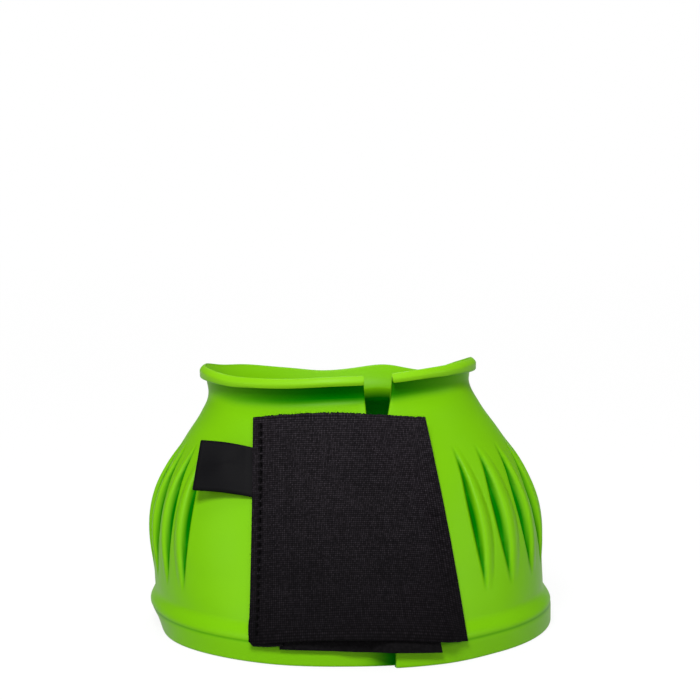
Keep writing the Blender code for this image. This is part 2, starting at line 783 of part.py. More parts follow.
def main():
    for old in list(bpy.data.objects):
        bpy.data.objects.remove(old, do_unlink=True)
    build_shell()
    inner, outer, flap_low, flap_high = build_flap()
    build_flap_root(inner)
    build_strip(inner, flap_low)
    build_stitching(outer, flap_low)
    build_patch()
    strap_low, strap_high = build_under_strap()
    tab_low, tab_high = build_tab(inner, outer)
    offset = centre_on_origin()
    for name, low, high in (
        ("flap hinge", flap_low, flap_high),
        ("strap hinge", strap_low, strap_high),
        ("tab hinge", tab_low, tab_high),
    ):
        axis = (high - low).normalized()
        print(name, "at", [round(v, 6) for v in low - offset], "along", [round(v, 6) for v in axis])


main()
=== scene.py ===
# Looks of the ribbed rubber bell boot: moulded shell, woven closure tapes, seam and pull tab.
# Metres, +Z up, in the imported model's frame. The closure faces -Y.
import json
from math import atan, cos, hypot, pi, prod, radians, sin, sqrt

import bmesh
import bpy
import numpy as np
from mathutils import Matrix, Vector
from mathutils.geometry import tessellate_polygon


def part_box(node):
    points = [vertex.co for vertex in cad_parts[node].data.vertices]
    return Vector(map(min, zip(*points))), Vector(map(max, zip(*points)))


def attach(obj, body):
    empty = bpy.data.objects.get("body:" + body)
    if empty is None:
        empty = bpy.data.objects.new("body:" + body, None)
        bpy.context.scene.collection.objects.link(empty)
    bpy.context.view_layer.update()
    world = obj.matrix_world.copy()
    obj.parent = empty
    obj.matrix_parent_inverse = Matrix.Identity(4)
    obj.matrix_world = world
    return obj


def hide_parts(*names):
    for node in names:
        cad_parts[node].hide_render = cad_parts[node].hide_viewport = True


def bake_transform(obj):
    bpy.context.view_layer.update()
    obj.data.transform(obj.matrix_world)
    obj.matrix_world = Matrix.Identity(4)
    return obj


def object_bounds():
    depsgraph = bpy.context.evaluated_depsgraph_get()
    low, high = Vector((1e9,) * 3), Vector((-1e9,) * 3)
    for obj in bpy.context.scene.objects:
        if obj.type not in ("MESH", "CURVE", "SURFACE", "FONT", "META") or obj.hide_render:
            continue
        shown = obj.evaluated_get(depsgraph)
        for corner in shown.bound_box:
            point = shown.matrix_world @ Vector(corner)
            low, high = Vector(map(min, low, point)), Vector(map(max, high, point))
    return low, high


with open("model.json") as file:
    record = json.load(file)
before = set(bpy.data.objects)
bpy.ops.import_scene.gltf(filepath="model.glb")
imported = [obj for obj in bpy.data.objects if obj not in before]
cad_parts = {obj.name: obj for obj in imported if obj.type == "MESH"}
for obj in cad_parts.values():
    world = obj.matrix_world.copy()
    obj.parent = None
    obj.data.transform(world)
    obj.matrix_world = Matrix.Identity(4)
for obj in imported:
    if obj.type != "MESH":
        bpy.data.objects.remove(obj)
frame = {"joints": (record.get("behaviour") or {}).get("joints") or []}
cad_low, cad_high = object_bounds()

# Camera, from pixels of the 700 x 700 photograph
PICTURE = 700
FOCAL_PIXELS = 3486
HEM_PIXEL_Y = 618.8
CAMERA_ELEVATION = radians(14.0)
CAMERA_DISTANCE = 1.6
SENSOR = 36

# Shell: the same values as the solid model's
HEM_RADIUS = 0.0918
HEM_BAND_HEIGHT = 0.0100
HEM_BAND_PROUD = 0.0033
WALL = 0.0032
NECK_HALF_WIDTH = 0.0592
NECK_HALF_DEPTH = 0.0365
NECK_SHIFT = -0.0054
RIM_HEIGHT = 0.1142
RIM_RISE_BEHIND = 0.0044
RIM_RISE_RIGHT = 0.0018
RIM_DIP_ENDS = 0.0029
RIM_TWIST = 0.0009
RIM_RIPPLE = 0.0006
LIP_HEIGHT = 0.0085
LIP_CROWN = 0.0013
LIP_FLARE_SIDE = 0.0046
LIP_FLARE_FRONT = 0.0062
SIDE_SHARES = (
    (0.00, 1.00), (0.15, 1.00), (0.30, 0.995), (0.43, 0.935), (0.55, 0.815),
    (0.66, 0.66), (0.78, 0.405), (0.89, 0.155), (1.00, 0.00),
)
FRONT_SHARES = (
    (0.00, 1.00), (0.10, 0.99), (0.26, 0.93), (0.43, 0.81), (0.62, 0.61),
    (0.80, 0.37), (0.93, 0.15), (1.00, 0.00),
)
REAR_SHARES = (
    (0.00, 1.00), (0.25, 0.775), (0.50, 0.535), (0.75, 0.295), (0.92, 0.13), (1.00, 0.00),
)

# Shell: what is finer than the solid model
HEM_ROUND = 0.0007
BAND_FLARE = (0.0090, 0.0172)
BAND_CREASE_HEIGHT = 0.0091
BAND_CREASE = 0.0003
BAND_CREASE_WIDTH = 0.0006
# Painted shade in the hem band's crease
BAND_CREASE_SHADE = 0.5
# Each tuck: its depth, angle and spread in degrees, and the heights between which it comes and goes
TUCKS = (
    (0.0048, -82, 18, (-0.001, 0), (0, 0.0130)), (0.0013, -90, 40, (0.060, 0.080), (0.100, 0.110)),
)
RIM_WOBBLE = 0.00010
RIM_WOBBLE_COUNT = 11
RIM_WOBBLE_TURN = 2.1
RIM_ROLL_SHARE = 0.78
# How far up the lip the roll, and the plain lime above the lip's painted shade, start and end:
# front, then side
RIM_ROLL_SHARES = ((0.70, 0.98), (0.42, 0.86))
RIM_LIGHT_SHARES = ((0.80, 0.94), (0.60, 0.80))
SIDE_POWER = 4
# Where the lighter edge colour, partly wear and partly a painted highlight, starts on the lip and
# on its inner edge
LIP_EDGE_SHARES = (0.8, 1.0)
INNER_EDGE_SHARE = 0.6
# Painted shade under the lip and on the left end beside the lap
LIP_SHADE_POWER = 1.2
LAP_SHADE_WIDTH = 0.0095
# Painted shade, then painted light, on the inner wall below the neck
INNER_SHADE_DEPTHS = (0.0010, 0.0040)
INNER_SHADE = 1.7
# Each wave of the rim: its angle and spread in degrees, and its rise
RIM_WAVES = (
    (220, 16, 0.0008), (188, 12, -0.0010), (161, 10, 0.0010), (134, 13, -0.0017),
    (80, 14, -0.0005), (-12, 42, 0.0009), (42, 15, 0.0008),
)
END_ROUND = 0.0008

# Ribs
RIB_COUNT = 26
RIB_PITCH = radians(10.05)
LAST_RIB_ANGLE = radians(303.1)
WIDE_RIBS = 3
WIDE_RIBS_SPREAD = radians(7.2)
RIB_FOOT_HEIGHT = 0.0248
RIB_FOOT_RISE_RIGHT = 0.0020
RIB_TOP_HEIGHT = 0.0838
RIB_TOP_RISE_BEHIND = 0.0048
RIB_PROUD = 0.0021
RIB_GROOVE = 0.0025
RIB_TAPER_POWER = 1.20
RIB_END_WIDTH_SHARE = 0.42
RIB_CREST_POWER = 2.2
RIB_GROOVE_SHARE = 0.215
RIB_PLAIN_SHARE = 0.480
RIB_FAR_SLOPE_SHARE = 0.46
# Painted shade in the ribs' grooves
RIB_SHADE = 2.3
RIB_SHADE_REACH = 0.0006
RIB_SHADE_POWER = 0.80

# Slit and lapped ends
SLIT_RIGHT_X_AT_HEM = 0.0190
SLIT_RIGHT_X_WAIST = 0.0166
SLIT_RIGHT_X_AT_RIM = 0.0190
SLIT_WAIST_HEIGHT = 0.0990
SLIT_LEFT_X_AT_RIM = 0.0063
SLIT_LEFT_X_AT_HEM = 0.0360
SLIT_CURVE_POWER = 1.5
LAP_OUT = 0.0022
LAP_IN = 0.0014
LAP_IN_MORE_AT_HEM = 0.0012
LAP_SKIVE = 0.0021
SKIVE_TOP = 0.0200
LAP_FULL_BELOW = 0.0600
LAP_GONE_ABOVE = 0.0960
LAP_OUT_ANGLES = (radians(25), radians(46))
LAP_IN_ANGLES = (radians(-25), radians(3))
SKIVE_ANGLES = (radians(25), radians(34))

# Closure tapes: the solid model's values, but for the flap's edges and the width of the strip.
# The drops and standoffs are a pair each, bottom and top
SLIT_RIGHT_X = 0.0182
SEAT_GAP = 0.0003
FLAP_GAP = 0.0006
PATCH_THICKNESS = 0.0010
STRAP_FACE_THICKNESS = 0.0011
FLAP_THICKNESS = 0.0014
STRIP_THICKNESS = 0.0011
BAND_CLEAR_HEIGHT = 0.0090
FLAP_LEFT_X_TOP = -0.0416
FLAP_LEFT_X_BOTTOM = -0.0424
FLAP_RIGHT_X_TOP = 0.0309
FLAP_RIGHT_X_BOTTOM = 0.0464
FLAP_TOP = 0.1009
FLAP_BOTTOM = 0.0123
FLAP_DROPS = (0.0029, 0.0025)
FLAP_HINGE_STANDOFFS = (0.0070, 0.0058)
FLAP_EDGE_BEND = 0.0072
FLAP_CLIMB_LEFT_X = -0.0200
FLAP_ROOT_WIDTH = 0.0060
PATCH_LEFT_X = 0.0200
PATCH_INSET = 0.0085
PATCH_TOP = 0.0895
PATCH_BOTTOM = 0.0145
STRAP_LEFT_X = -0.0290
STRAP_HINGE_X = 0.0030
STRAP_RIGHT_X_TOP = 0.0215
STRAP_RIGHT_X_BOTTOM = 0.0365
STRAP_TOP = 0.0945
STRAP_BOTTOM = 0.0074
STRAP_DROPS = (0.0010, 0.0036)
STRAP_CLIMB = 0.0120
STRAP_HINGE_STANDOFF = 0.0010
STRIP_WIDTH = 0.0166
STRIP_OVERHANG = 0.0006
STRIP_LOWER = 0.0014
STITCH_INSET = 0.0040
STITCH_PITCH = 0.0036
STITCH_MARGIN = 0.0030
TAB_LENGTH = 0.0240
TAB_TOP = 0.0883
TAB_BOTTOM = 0.0683
TAB_RISE = 0.0050
TAB_LAYER = 0.0008
TAB_SLOT = 0.0006
TAB_SWEEP = 0.0036
TAB_SPRING_ANGLE = radians(8)

# Closure tapes: what is finer than the solid model
FLAP_THREADS_ACROSS = 108
FLAP_THREADS_UP = 107
THREAD_SAMPLES = 3
WEAVE_HEIGHT = 0.00015
WEAVE_ACROSS_FALL = 5.0
WEAVE_THREAD_SIZES = (0.85, 1.10)
WEAVE_CROSSING_SIZES = (0.65, 1.20)
# Painted light on the weave's thread crests, weaker on the selvedge and on the tape's back face
WEAVE_SHOWN_POWER = 1.6
WEAVE_BEHIND = 0.22
SELVEDGE = (0.0034, 0.0046)
SELVEDGE_HEIGHT_SHARE = 0.25
SELVEDGE_LIGHT_SHARE = 0.9
TAPE_EDGE_ROUND = 0.00045
FLAP_CORNER_ROUND = 0.0014
FLAP_SAG = 0.00035
# Each wave of the sag: its share, length and turn across, and length and turn upward
FLAP_SAG_WAVES = ((1.0, 0.021, 1.0, 0.027, 0), (0.5, 0.009, 0, 0.034, 2))
FLAP_SAG_FROM_SIDE = 0.012
FLAP_SAG_FROM_FOOT = 0.008
FLAP_TUCK_LEFT = 0.0016
FLAP_TUCK_SHARE = 0.085
FLAP_EXTRA_RIGHT = 0.0011
FLAP_BULGE_RIGHT = 0.0009
FRAY = 0.00014
FRAY_REACH = 0.0012
STITCH_DENT_DEPTH = 0.00060
STITCH_DENT_WIDTH = 0.00105
STITCH_DENT_LENGTH = 0.0012
STITCH_SPAN_SHARES = (0.06, 0.94)
STITCH_SIDES = 12
STITCH_STATIONS = 22
THREAD_RADIUS = 0.00035
THREAD_RISE = -0.00012
THREAD_SINK = 1.6 * THREAD_RADIUS
THREAD_ARCH_POWER = 0.5
THREAD_PLY = 0.14
THREAD_HALF_TURN = 0.0009
STRAP_SLANT = 0.0012
STRAP_LEVEL = 0.0011
TAPE_STEP = 0.0007
FUZZ_ON_TOP = 260
FUZZ_ON_SIDE = 60
FUZZ_LENGTH = (0.0003, 0.0010)
FUZZ_RADIUS = 0.000045
FUZZ_ROOT = 0.0002
FUZZ_SPREAD = 0.9
FUZZ_BEND = 0.4
FUZZ_SIDES = 3
FUZZ_RINGS = ((0, 1), (0.55, 0.8), (1, 0.3))
FUZZ_CLEAR = 2
STRIP_LOWER_ROWS = 6
FLAP_ROOT_COLUMNS = 16
# How many samples in from the flap's edge each tape's direction is read
STRIP_AIM = 24
TAB_AIM = 23
TAB_BOW = 0.0006
TAB_PUFF = 0.0005
TAB_PINCH = 0.0035
TAB_TUCK = 0.0016
TAB_EDGE_SHARE = 0.6
TAB_LEG_STEPS = 44
TAB_BEND_STEPS = 12
TAB_ROWS = 34
SEED = 7

# Materials: linear colours, and shares, levels and ranges of the shaders' inputs
LIME_COLOURS = ((0.143, 0.422, 0.000), (0.168, 0.458, 0.001))
# Painted shade: the deep green mixed into the lime under the lip, in the ribs' grooves, in the
# band's crease and beside the lap
PAINTED_SHADE_COLOUR = (0.0003, 0.160, 0.0001)
# Painted light: a brighter saturated green on the inner wall, where the lamps leave it too dark
INSIDE_PAINTED_LIGHT_COLOUR = (0.001, 0.520, 0.0005)
# A lighter colour on the rim's cut edge and the hem's foot: partly wear, partly a painted highlight
WEAR_AND_HIGHLIGHT_COLOUR = (0.250, 0.560, 0.010)
WEAR_AND_HIGHLIGHT_SHARE = 0.35
PEEL_SHARE = 0.7
RUBBER_SPECULARS = (0.15, 0.01)
RUBBER_ROUGHNESSES = (0.36, 0.52)
RUBBER_IOR = 1.42
RUBBER_BUMP = (0.00006, 0.6)
WOVEN_STREAK_LIGHTS = (0.3, 1.5)
WOVEN_PATCH_LIGHTS = (0.6, 1.2)
# Painted light: the flap is painted lighter towards its top
WOVEN_PAINTED_LIGHT_UPWARD = (0.32, 1.12)
WEBBING_PITCH = 0.00084
WEBBING_LIGHTS = (0.4, 1.4)
WEBBING_FIBRE_SHARE = 0.5
HOOK_SCALE = 1250.0
LOOP_SCALE = 700.0
TUFT_LIGHTS = (0.3, 1.2)
TUFT_FIBRE_SHARE = 0.4
RIBBON_PITCH = 0.00055
RIBBON_STRETCH = (60.0, 1400.0, 1.0)
RIBBON_LINE_SHARE = 0.6
RIBBON_ANISOTROPY = 0.4
# Each fabric: its colours, specular level, roughness, and depth and strength of bump
FABRICS = {
    "woven_tape": ((.0006, .0004, .0007), (.0400, .0340, .0410), .04, (.62, .95), .00008, 0.7),
    "plain_webbing": ((.0010, .0009, .0011), (.0060, .0052, .0062), .06, (.60, .90), .00006, 0.8),
    "hook_tape": ((.0014, .0012, .0015), (.0130, .0120, .0132), .07, (.70, .95), .00030, 1.0),
    "loop_tape": ((.0012, .0010, .0013), (.0070, .0062, .0072), .07, (.70, .95), .00020, 1.0),
    "satin_ribbon": ((.0010, .0010, .0014), (.0036, .0034, .0044), .05, (.42, .62), .00003, 0.7),
    "sewing_thread": ((.0002, .0002, .0002), (.0022, .0020, .0023), .03, .55, .00004, 0.6),
}
# Each noise: its scale and detail
NOISES = {
    "clouds": (26.0, 4.0), "peel": (420.0, 2.0), "grain": (2600.0, 2.0), "dull": (60.0, 5.0),
    "streaks": (900.0, 3.0), "patches": (45.0, 3.0), "weave": (3200.0, 3.0),
    "webbing": (1800.0, 4.0), "tufts": (2400.0, 4.0), "ribbon": (1.0, 4.0), "thread": (3000.0, 3.0),
}

# Stage: the floor turns wholly white for the camera some way from the boot
WHITE = (1, 1, 1, 1)
FLOOR_HALF = 20.0
FLOOR_GAP = 0.0002
FLOOR_ROUGHNESS = 0.9
FLOOR_COLOURS = ((0.38, 0.38, 0.38), (0.95, 0.95, 0.95))
FLOOR_WHITE_REACH = (0.40, 1.20)
FLOOR_WHITE_SHARES = (0.90, 1.00)
WORLD_LIGHT = 0.14
# Each lamp: its azimuth and elevation in degrees, distance, width, height and power
LAMPS = {
    "key": (-10, 44, 1.9, 0.55, 0.45, 32.0),
    "fill": (6, 12, 2.0, 0.9, 0.5, 6.0),
    "top": (5, 80, 1.8, 0.9, 0.8, 7.0),
    "back": (180, 42, 2.0, 1.0, 0.9, 13.0),
    "left strip": (-62, 16, 2.0, 0.25, 1.0, 7.0),
    "right strip": (74, 16, 2.0, 0.25, 1.0, 7.0),
}

# Mesh density
RIGHT_END_COLUMNS = 48
RIB_COLUMNS = 22
LEFT_END_COLUMNS = 110
END_CROWD_POWER = 1.7
HEM_ROWS = 22
WALL_ROWS = 96
LIP_ROWS = 20
CROWN_STEPS = 10
INNER_WALL_ROWS = 34
HEM_TOP_OF_ROWS = 0.0130

ANGLE_PASSES = 4
RIB_PLACE_PASSES = 12
PROBE_ANGLE = 1e-3
PROBE_HEIGHT = 1e-5
FULL_TURN = 2 * pi
SHARP_ANGLE = radians(40)

shell_low, shell_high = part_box("shell")
CENTRE = np.array([(shell_low.x + shell_high.x) / 2, shell_high.y - HEM_RADIUS, 0])


# General helpers

def mix(low, high, share):
    return low + (high - low) * share


def ease(low, high, value):
    share = np.clip((value - low) / (high - low), 0, 1)
    return share * share * (3 - 2 * share)


def unit(vectors):
    return vectors / np.linalg.norm(vectors, axis=-1, keepdims=True)


def along(shares, place):
    """A smooth curve through a table of shares, level at its two ends."""
    at, value = np.array(shares).T
    slope = np.zeros(len(at))
    slope[1:-1] = (value[2:] - value[:-2]) / (at[2:] - at[:-2])
    place = np.clip(place, at[0], at[-1])
    index = np.clip(np.searchsorted(at, place, side="right") - 1, 0, len(at) - 2)
    run = at[index + 1] - at[index]
    part = (place - at[index]) / run
    rest = 1 - part
    return (
        (1 + 2 * part) * rest * rest * value[index]
        + part * part * (3 - 2 * part) * value[index + 1]
        + part * rest * run * (rest * slope[index] - part * slope[index + 1])
    )


def rounding(distance, radius):
    """How far a rounded edge lies below its face, at a distance in from the edge."""
    inside = np.clip(radius - distance, 0, radius)
    return radius - np.sqrt(radius * radius - inside * inside)


# The smooth outer surface of the shell, as the solid model has it

def rim_height(angle):
    return (
        RIM_HEIGHT
        + RIM_RISE_BEHIND * np.cos(angle)
        + RIM_RISE_RIGHT * np.sin(angle)
        - RIM_DIP_ENDS * np.cos(2 * angle)
        + RIM_TWIST * np.sin(2 * angle)
        + RIM_RIPPLE * np.cos(4 * angle)
    )


def half_sizes(angle, height):
    neck = rim_height(angle) - LIP_HEIGHT
    body = HEM_RADIUS - HEM_BAND_PROUD
    climb = (height - HEM_BAND_HEIGHT) / (neck - HEM_BAND_HEIGHT)
    flare = np.maximum(height - neck, 0) / LIP_HEIGHT
    behind = along(REAR_SHARES, climb)
    before = along(FRONT_SHARES, climb)
    width = mix(NECK_HALF_WIDTH, body, along(SIDE_SHARES, climb))
    depth = mix(NECK_HALF_DEPTH, body, np.where(np.cos(angle) > 0, behind, before))
    width = width + LIP_FLARE_SIDE * flare * flare
    depth = depth + LIP_FLARE_FRONT * flare * flare
    return width, depth, NECK_SHIFT * np.clip(climb, 0, 1)


def smooth_point(angle, height):
    width, depth, shift = half_sizes(angle, height)
    x = shift + width * np.sin(angle)
    y = -depth * np.cos(angle)
    return np.stack(np.broadcast_arrays(x, y, height), axis=-1)


def outward(angle, height):
    around = smooth_point(angle + PROBE_ANGLE, height) - smooth_point(angle - PROBE_ANGLE, height)
    rise = smooth_point(angle, height + PROBE_HEIGHT) - smooth_point(angle, height - PROBE_HEIGHT)
    on_wall = np.broadcast_to(height > HEM_BAND_HEIGHT, rise.shape[:-1])
    return unit(np.cross(around, np.where(on_wall[..., None], rise, [0.0, 0.0, 1.0])))


def angle_at(x, height):
    """The angle, on the closure side, at which the smooth surface passes this x."""
    angle = np.zeros(np.broadcast(x, height).shape)
    for _ in range(ANGLE_PASSES):
        width, _, shift = half_sizes(angle, height)
        angle = np.arcsin(np.clip((x - shift) / width, -1, 1))
    return angle


def lap_strength(height):
    return 1 - ease(LAP_FULL_BELOW, LAP_GONE_ABOVE, height)


def right_lift(angle, height):
    return LAP_OUT * lap_strength(height) * (1 - ease(*LAP_OUT_ANGLES, angle))


def left_sink(angle, height):
    depth = LAP_IN + LAP_IN_MORE_AT_HEM * (1 - ease(HEM_BAND_HEIGHT, SKIVE_TOP, height))
    return depth * lap_strength(height) * ease(*LAP_IN_ANGLES, angle)


# Shell

def right_edge_angle(height):
    climb = ease(LAP_FULL_BELOW, SLIT_WAIST_HEIGHT, height)
    low = mix(SLIT_RIGHT_X_AT_HEM, SLIT_RIGHT_X_WAIST, climb)
    x = mix(low, SLIT_RIGHT_X_AT_RIM, ease(SLIT_WAIST_HEIGHT, RIM_HEIGHT, height))
    return angle_at(x, height)


def left_edge_angle(height):
    drop = np.clip((RIM_HEIGHT - height) / RIM_HEIGHT, 0, 1)
    x = mix(SLIT_LEFT_X_AT_RIM, SLIT_LEFT_X_AT_HEM, drop ** SLIT_CURVE_POWER)
    return angle_at(x, height)


def bump_at(angle, centre, spread):
    """A smooth bump around an angle, whose centre and spread are in degrees."""
    away = (angle - radians(centre) + pi) % FULL_TURN - pi
    return np.exp(-(away / radians(spread)) ** 2)


def cut_rim_height(angle):
    """The rim as it was trimmed by hand, in slow waves."""
    height = rim_height(angle) + RIM_WOBBLE * np.sin(RIM_WOBBLE_COUNT * angle + RIM_WOBBLE_TURN)
    for centre, spread, rise in RIM_WAVES:
        height = height + rise * bump_at(angle, centre, spread)
    return height


def rib_angle(place):
    """The angle of a place among the ribs, counted in ribs from the first one's centre line."""
    spread = WIDE_RIBS_SPREAD * ease(0, WIDE_RIBS, WIDE_RIBS - place)
    return LAST_RIB_ANGLE - (RIB_COUNT - 1 - place) * RIB_PITCH - spread


def rib_place(angle):
    place = np.zeros_like(angle)
    for _ in range(RIB_PLACE_PASSES):
        place = place + (angle - rib_angle(place)) / RIB_PITCH
    return place


def rib_relief(angle, height):
    """Height of the ribs above the wall, and how much painted shade each place has in a groove."""
    place = rib_place(angle)
    nearest = np.clip(np.round(place), 0, RIB_COUNT - 1)
    centre = rib_angle(nearest)
    foot = RIB_FOOT_HEIGHT + RIB_FOOT_RISE_RIGHT * np.sin(centre)
    top = RIB_TOP_HEIGHT + RIB_TOP_RISE_BEHIND * np.cos(centre)
    span = np.clip((height - foot) / (top - foot), 0, 1)
    taper = np.sin(pi * span) ** RIB_TAPER_POWER
    off_centre = np.abs(place - nearest) / mix(RIB_END_WIDTH_SHARE, 1, taper)
    near_side = np.clip(1 - np.sin(centre) * np.sign(place - nearest), 0, 1)
    slope = mix(RIB_FAR_SLOPE_SHARE, RIB_GROOVE_SHARE, near_side)
    crest = 1 - np.clip(off_centre / slope, 0, 1) ** RIB_CREST_POWER
    trough = 1 - ease(RIB_GROOVE_SHARE, RIB_PLAIN_SHARE, off_centre)
    groove = RIB_GROOVE * near_side
    relief = taper * (crest * (RIB_PROUD + groove) - trough * groove)
    below = (RIB_SHADE_REACH * taper * near_side - relief) / RIB_GROOVE
    return relief, trough * np.clip(RIB_SHADE * below, 0, 1) ** RIB_SHADE_POWER


def column_angles(height):
    """Angles of the columns at these heights, one for each column, crowded at the slit's edges."""
    start = right_edge_angle(height)
    end = FULL_TURN + left_edge_angle(height)
    rib_columns = rib_angle(np.linspace(0, RIB_COUNT, RIB_COUNT * RIB_COLUMNS + 1) - 1 / 2)
    right = (np.arange(RIGHT_END_COLUMNS) / RIGHT_END_COLUMNS) ** END_CROWD_POWER
    left = 1 - (1 - np.arange(1, LEFT_END_COLUMNS + 1) / LEFT_END_COLUMNS) ** END_CROWD_POWER
    angles = [
        mix(start[:RIGHT_END_COLUMNS], rib_columns[0], right), rib_columns,
        mix(rib_columns[-1], end[-LEFT_END_COLUMNS:], left),
    ]
    return np.concatenate(angles), start, end


def shell_row(height, out, inner):
    """One row of the shell's points: out is the offset from the smooth surface."""
    count = RIGHT_END_COLUMNS + RIB_COUNT * RIB_COLUMNS + 1 + LEFT_END_COLUMNS
    height = np.broadcast_to(np.asarray(height, float), (count,))
    angles, start, end = column_angles(height)
    width, depth, _ = half_sizes(angles, height)
    reach = np.hypot(width * np.cos(angles), depth * np.sin(angles))
    from_end = np.minimum(angles - start, end - angles) * reach
    edge = rounding(from_end, END_ROUND)
    lift = right_lift(angles, height) - left_sink(angles - FULL_TURN, height)
    tuck = 0
    for most, centre, spread, coming, going in TUCKS:
        here = ease(*coming, height) * (1 - ease(*going, height))
        tuck = tuck + most * bump_at(angles, centre, spread) * here
    offset = lift + out(angles, height) - tuck + (edge if inner else -edge)
    return smooth_point(angles, height) + outward(angles, height) * offset[:, None], angles


def band_out(angle, height):
    """The hem band: round below, with a moulding line, and flowing into the wall above it."""
    out = HEM_BAND_PROUD * (1 - ease(*BAND_FLARE, height)) - rounding(height, HEM_ROUND)
    return out - BAND_CREASE * band_crease(height)


def band_crease(height):
    return np.exp(-((height - BAND_CREASE_HEIGHT) / BAND_CREASE_WIDTH) ** 2)


def wall_out(angle, height):
    return band_out(angle, height) + rib_relief(angle, height)[0]


def inner_lip_out(angle, height):
    return 0 * angle - WALL


def inner_out(angle, height):
    skive = (1 - ease(*SKIVE_ANGLES, angle)) * (1 - ease(HEM_BAND_HEIGHT, SKIVE_TOP, height))
    return LAP_SKIVE * skive - WALL


def shell_rows():
    """The closed section through the wall, row by row, with how much painted shade each place has.
    """
    neck_base = RIM_HEIGHT - LIP_HEIGHT
    rows, painted_shades, edges = [], [], []

    def add(points, painted_shade, edge):
        rows.append(points)
        painted_shades.append(np.broadcast_to(painted_shade, points.shape[:-1]))
        edges.append(np.broadcast_to(edge, points.shape[:-1]))

    def level(share, low):
        """Heights at one share of the climb to the neck, so that rows follow the rim."""
        _, angles = shell_row(mix(low, neck_base, share), wall_out, False)
        return mix(low, cut_rim_height(angles) - LIP_HEIGHT, share)

    for row in range(HEM_ROWS):
        height = HEM_TOP_OF_ROWS * (1 - cos(pi * row / HEM_ROWS)) / 2
        points, angles = shell_row(height, band_out, False)
        # Painted shade in the band's crease and on the left end beside the lap
        painted_shade = np.maximum(BAND_CREASE_SHADE * band_crease(height), lap_shade(angles, height))
        # The hem's foot gets the lighter edge colour: partly wear, partly a painted highlight
        add(points, painted_shade, 1 - ease(0, HEM_ROUND, height))
    for row in range(WALL_ROWS + 1):
        height = level(row / WALL_ROWS, HEM_TOP_OF_ROWS)
        points, angles = shell_row(height, wall_out, False)
        # Painted shade in the ribs' grooves and under the lip
        under_lip = ease(LIP_HEIGHT / 2, 0, cut_rim_height(angles) - LIP_HEIGHT - height)
        add(points, rib_relief(angles, height)[1] + lip_shade(angles) * under_lip, 0)
    _, angles = shell_row(neck_base, wall_out, False)
    rim = cut_rim_height(angles) - LIP_CROWN
    neck = cut_rim_height(angles) - LIP_HEIGHT
    for row in range(1, LIP_ROWS + 1):
        share = row / LIP_ROWS
        points, _ = shell_row(mix(neck, rim, share), lambda a, h: rim_roll(a, share), False)
        # Painted shade on the lower part of the lip, giving way to plain lime higher up
        plain = ease(*by_side(angles, *RIM_LIGHT_SHARES), share)
        add(points, lip_shade(angles) * (1 - plain), ease(*LIP_EDGE_SHARES, share))
    outer_edge = rows[-1]
    inner_edge, _ = shell_row(rim, inner_lip_out, True)
    up_lip = unit(rows[-1] - rows[-2])
    # The rim's crown gets the lighter edge colour: partly wear, partly a painted highlight
    for step in range(1, CROWN_STEPS):
        turn = pi * step / CROWN_STEPS
        across = mix(outer_edge, inner_edge, (1 - cos(turn)) / 2)
        add(across + up_lip * LIP_CROWN * sqrt(sin(turn)), 0, 1)
    add(inner_edge, 0, INNER_EDGE_SHARE)
    for row in range(LIP_ROWS - 1, 0, -1):
        points, _ = shell_row(mix(neck, rim, row / LIP_ROWS), inner_lip_out, True)
        add(points, 0, 0)
    # Inner wall: painted shade just below the neck, then a brighter green of painted light further
    # down
    for row in range(INNER_WALL_ROWS, -1, -1):
        height = level(row / INNER_WALL_ROWS, 0)
        points, angles = shell_row(height, inner_out, True)
        below = cut_rim_height(angles) - LIP_HEIGHT - height
        add(points, INNER_SHADE * ease(*INNER_SHADE_DEPTHS, below), 0)
    return np.array(rows), np.array(painted_shades), np.array(edges)


def rim_roll(angle, share):
    """Extra thickness that gives the lip an upright outer face, undercut below."""
    flare = np.hypot(LIP_FLARE_SIDE * np.sin(angle), LIP_FLARE_FRONT * np.cos(angle))
    plain = (share * (1 - LIP_CROWN / LIP_HEIGHT)) ** 2
    rise = ease(*by_side(angle, *RIM_ROLL_SHARES), share)
    return flare * (RIM_ROLL_SHARE * rise - plain * ease(0, 1, share))


def by_side(angle, front, side):
    """A pair of shares that goes from its front to its side values around the rim."""
    turned = np.sin(angle) ** SIDE_POWER
    return mix(front[0], side[0], turned), mix(front[1], side[1], turned)


def lip_shade(angle):
    """How much painted shade is under the lip: most where the oval is flattest."""
    return np.abs(np.cos(angle)) ** LIP_SHADE_POWER


def lap_shade(angle, height):
    """How much painted shade is on the left end, close to where the right end laps over it."""
    width, _, _ = half_sizes(angle, height)
    away = (right_edge_angle(height) + FULL_TURN - angle) * width
    return np.exp(-(away / LAP_SHADE_WIDTH) ** 2)


def build_shell():
    rows, painted_shades, edges = shell_rows()
    index = numbered(rows.shape[:2])
    faces = quads_of(np.concatenate([index, index[:1]]))
    for column in (0, -1):
        section = [Vector((hypot(p[0], p[1]), p[2], 0)) for p in rows[:, column]]
        for triangle in tessellate_polygon([section]):
            faces.append([int(index[corner, column]) for corner in triangle])
    values = {"painted_shade": painted_shades.reshape(-1), "edge": edges.reshape(-1)}
    return make_piece("rubber_shell", rows.reshape(-1, 3), faces, values)


# Mesh helpers

def make_piece(name, points, faces, values):
    """One mesh in the frame's place, its faces turned outward, with its point values."""
    mesh = bpy.data.meshes.new(name)
    mesh.from_pydata((points + CENTRE).tolist(), [], faces)
    shape = bmesh.new()
    shape.from_mesh(mesh)
    bmesh.ops.recalc_face_normals(shape, faces=shape.faces)
    shape.to_mesh(mesh)
    shape.free()
    for key, numbers in values.items():
        set_values(mesh, key, numbers)
    mesh.shade_smooth()
    mesh.set_sharp_from_angle(angle=SHARP_ANGLE)
    return add_object(name, mesh)


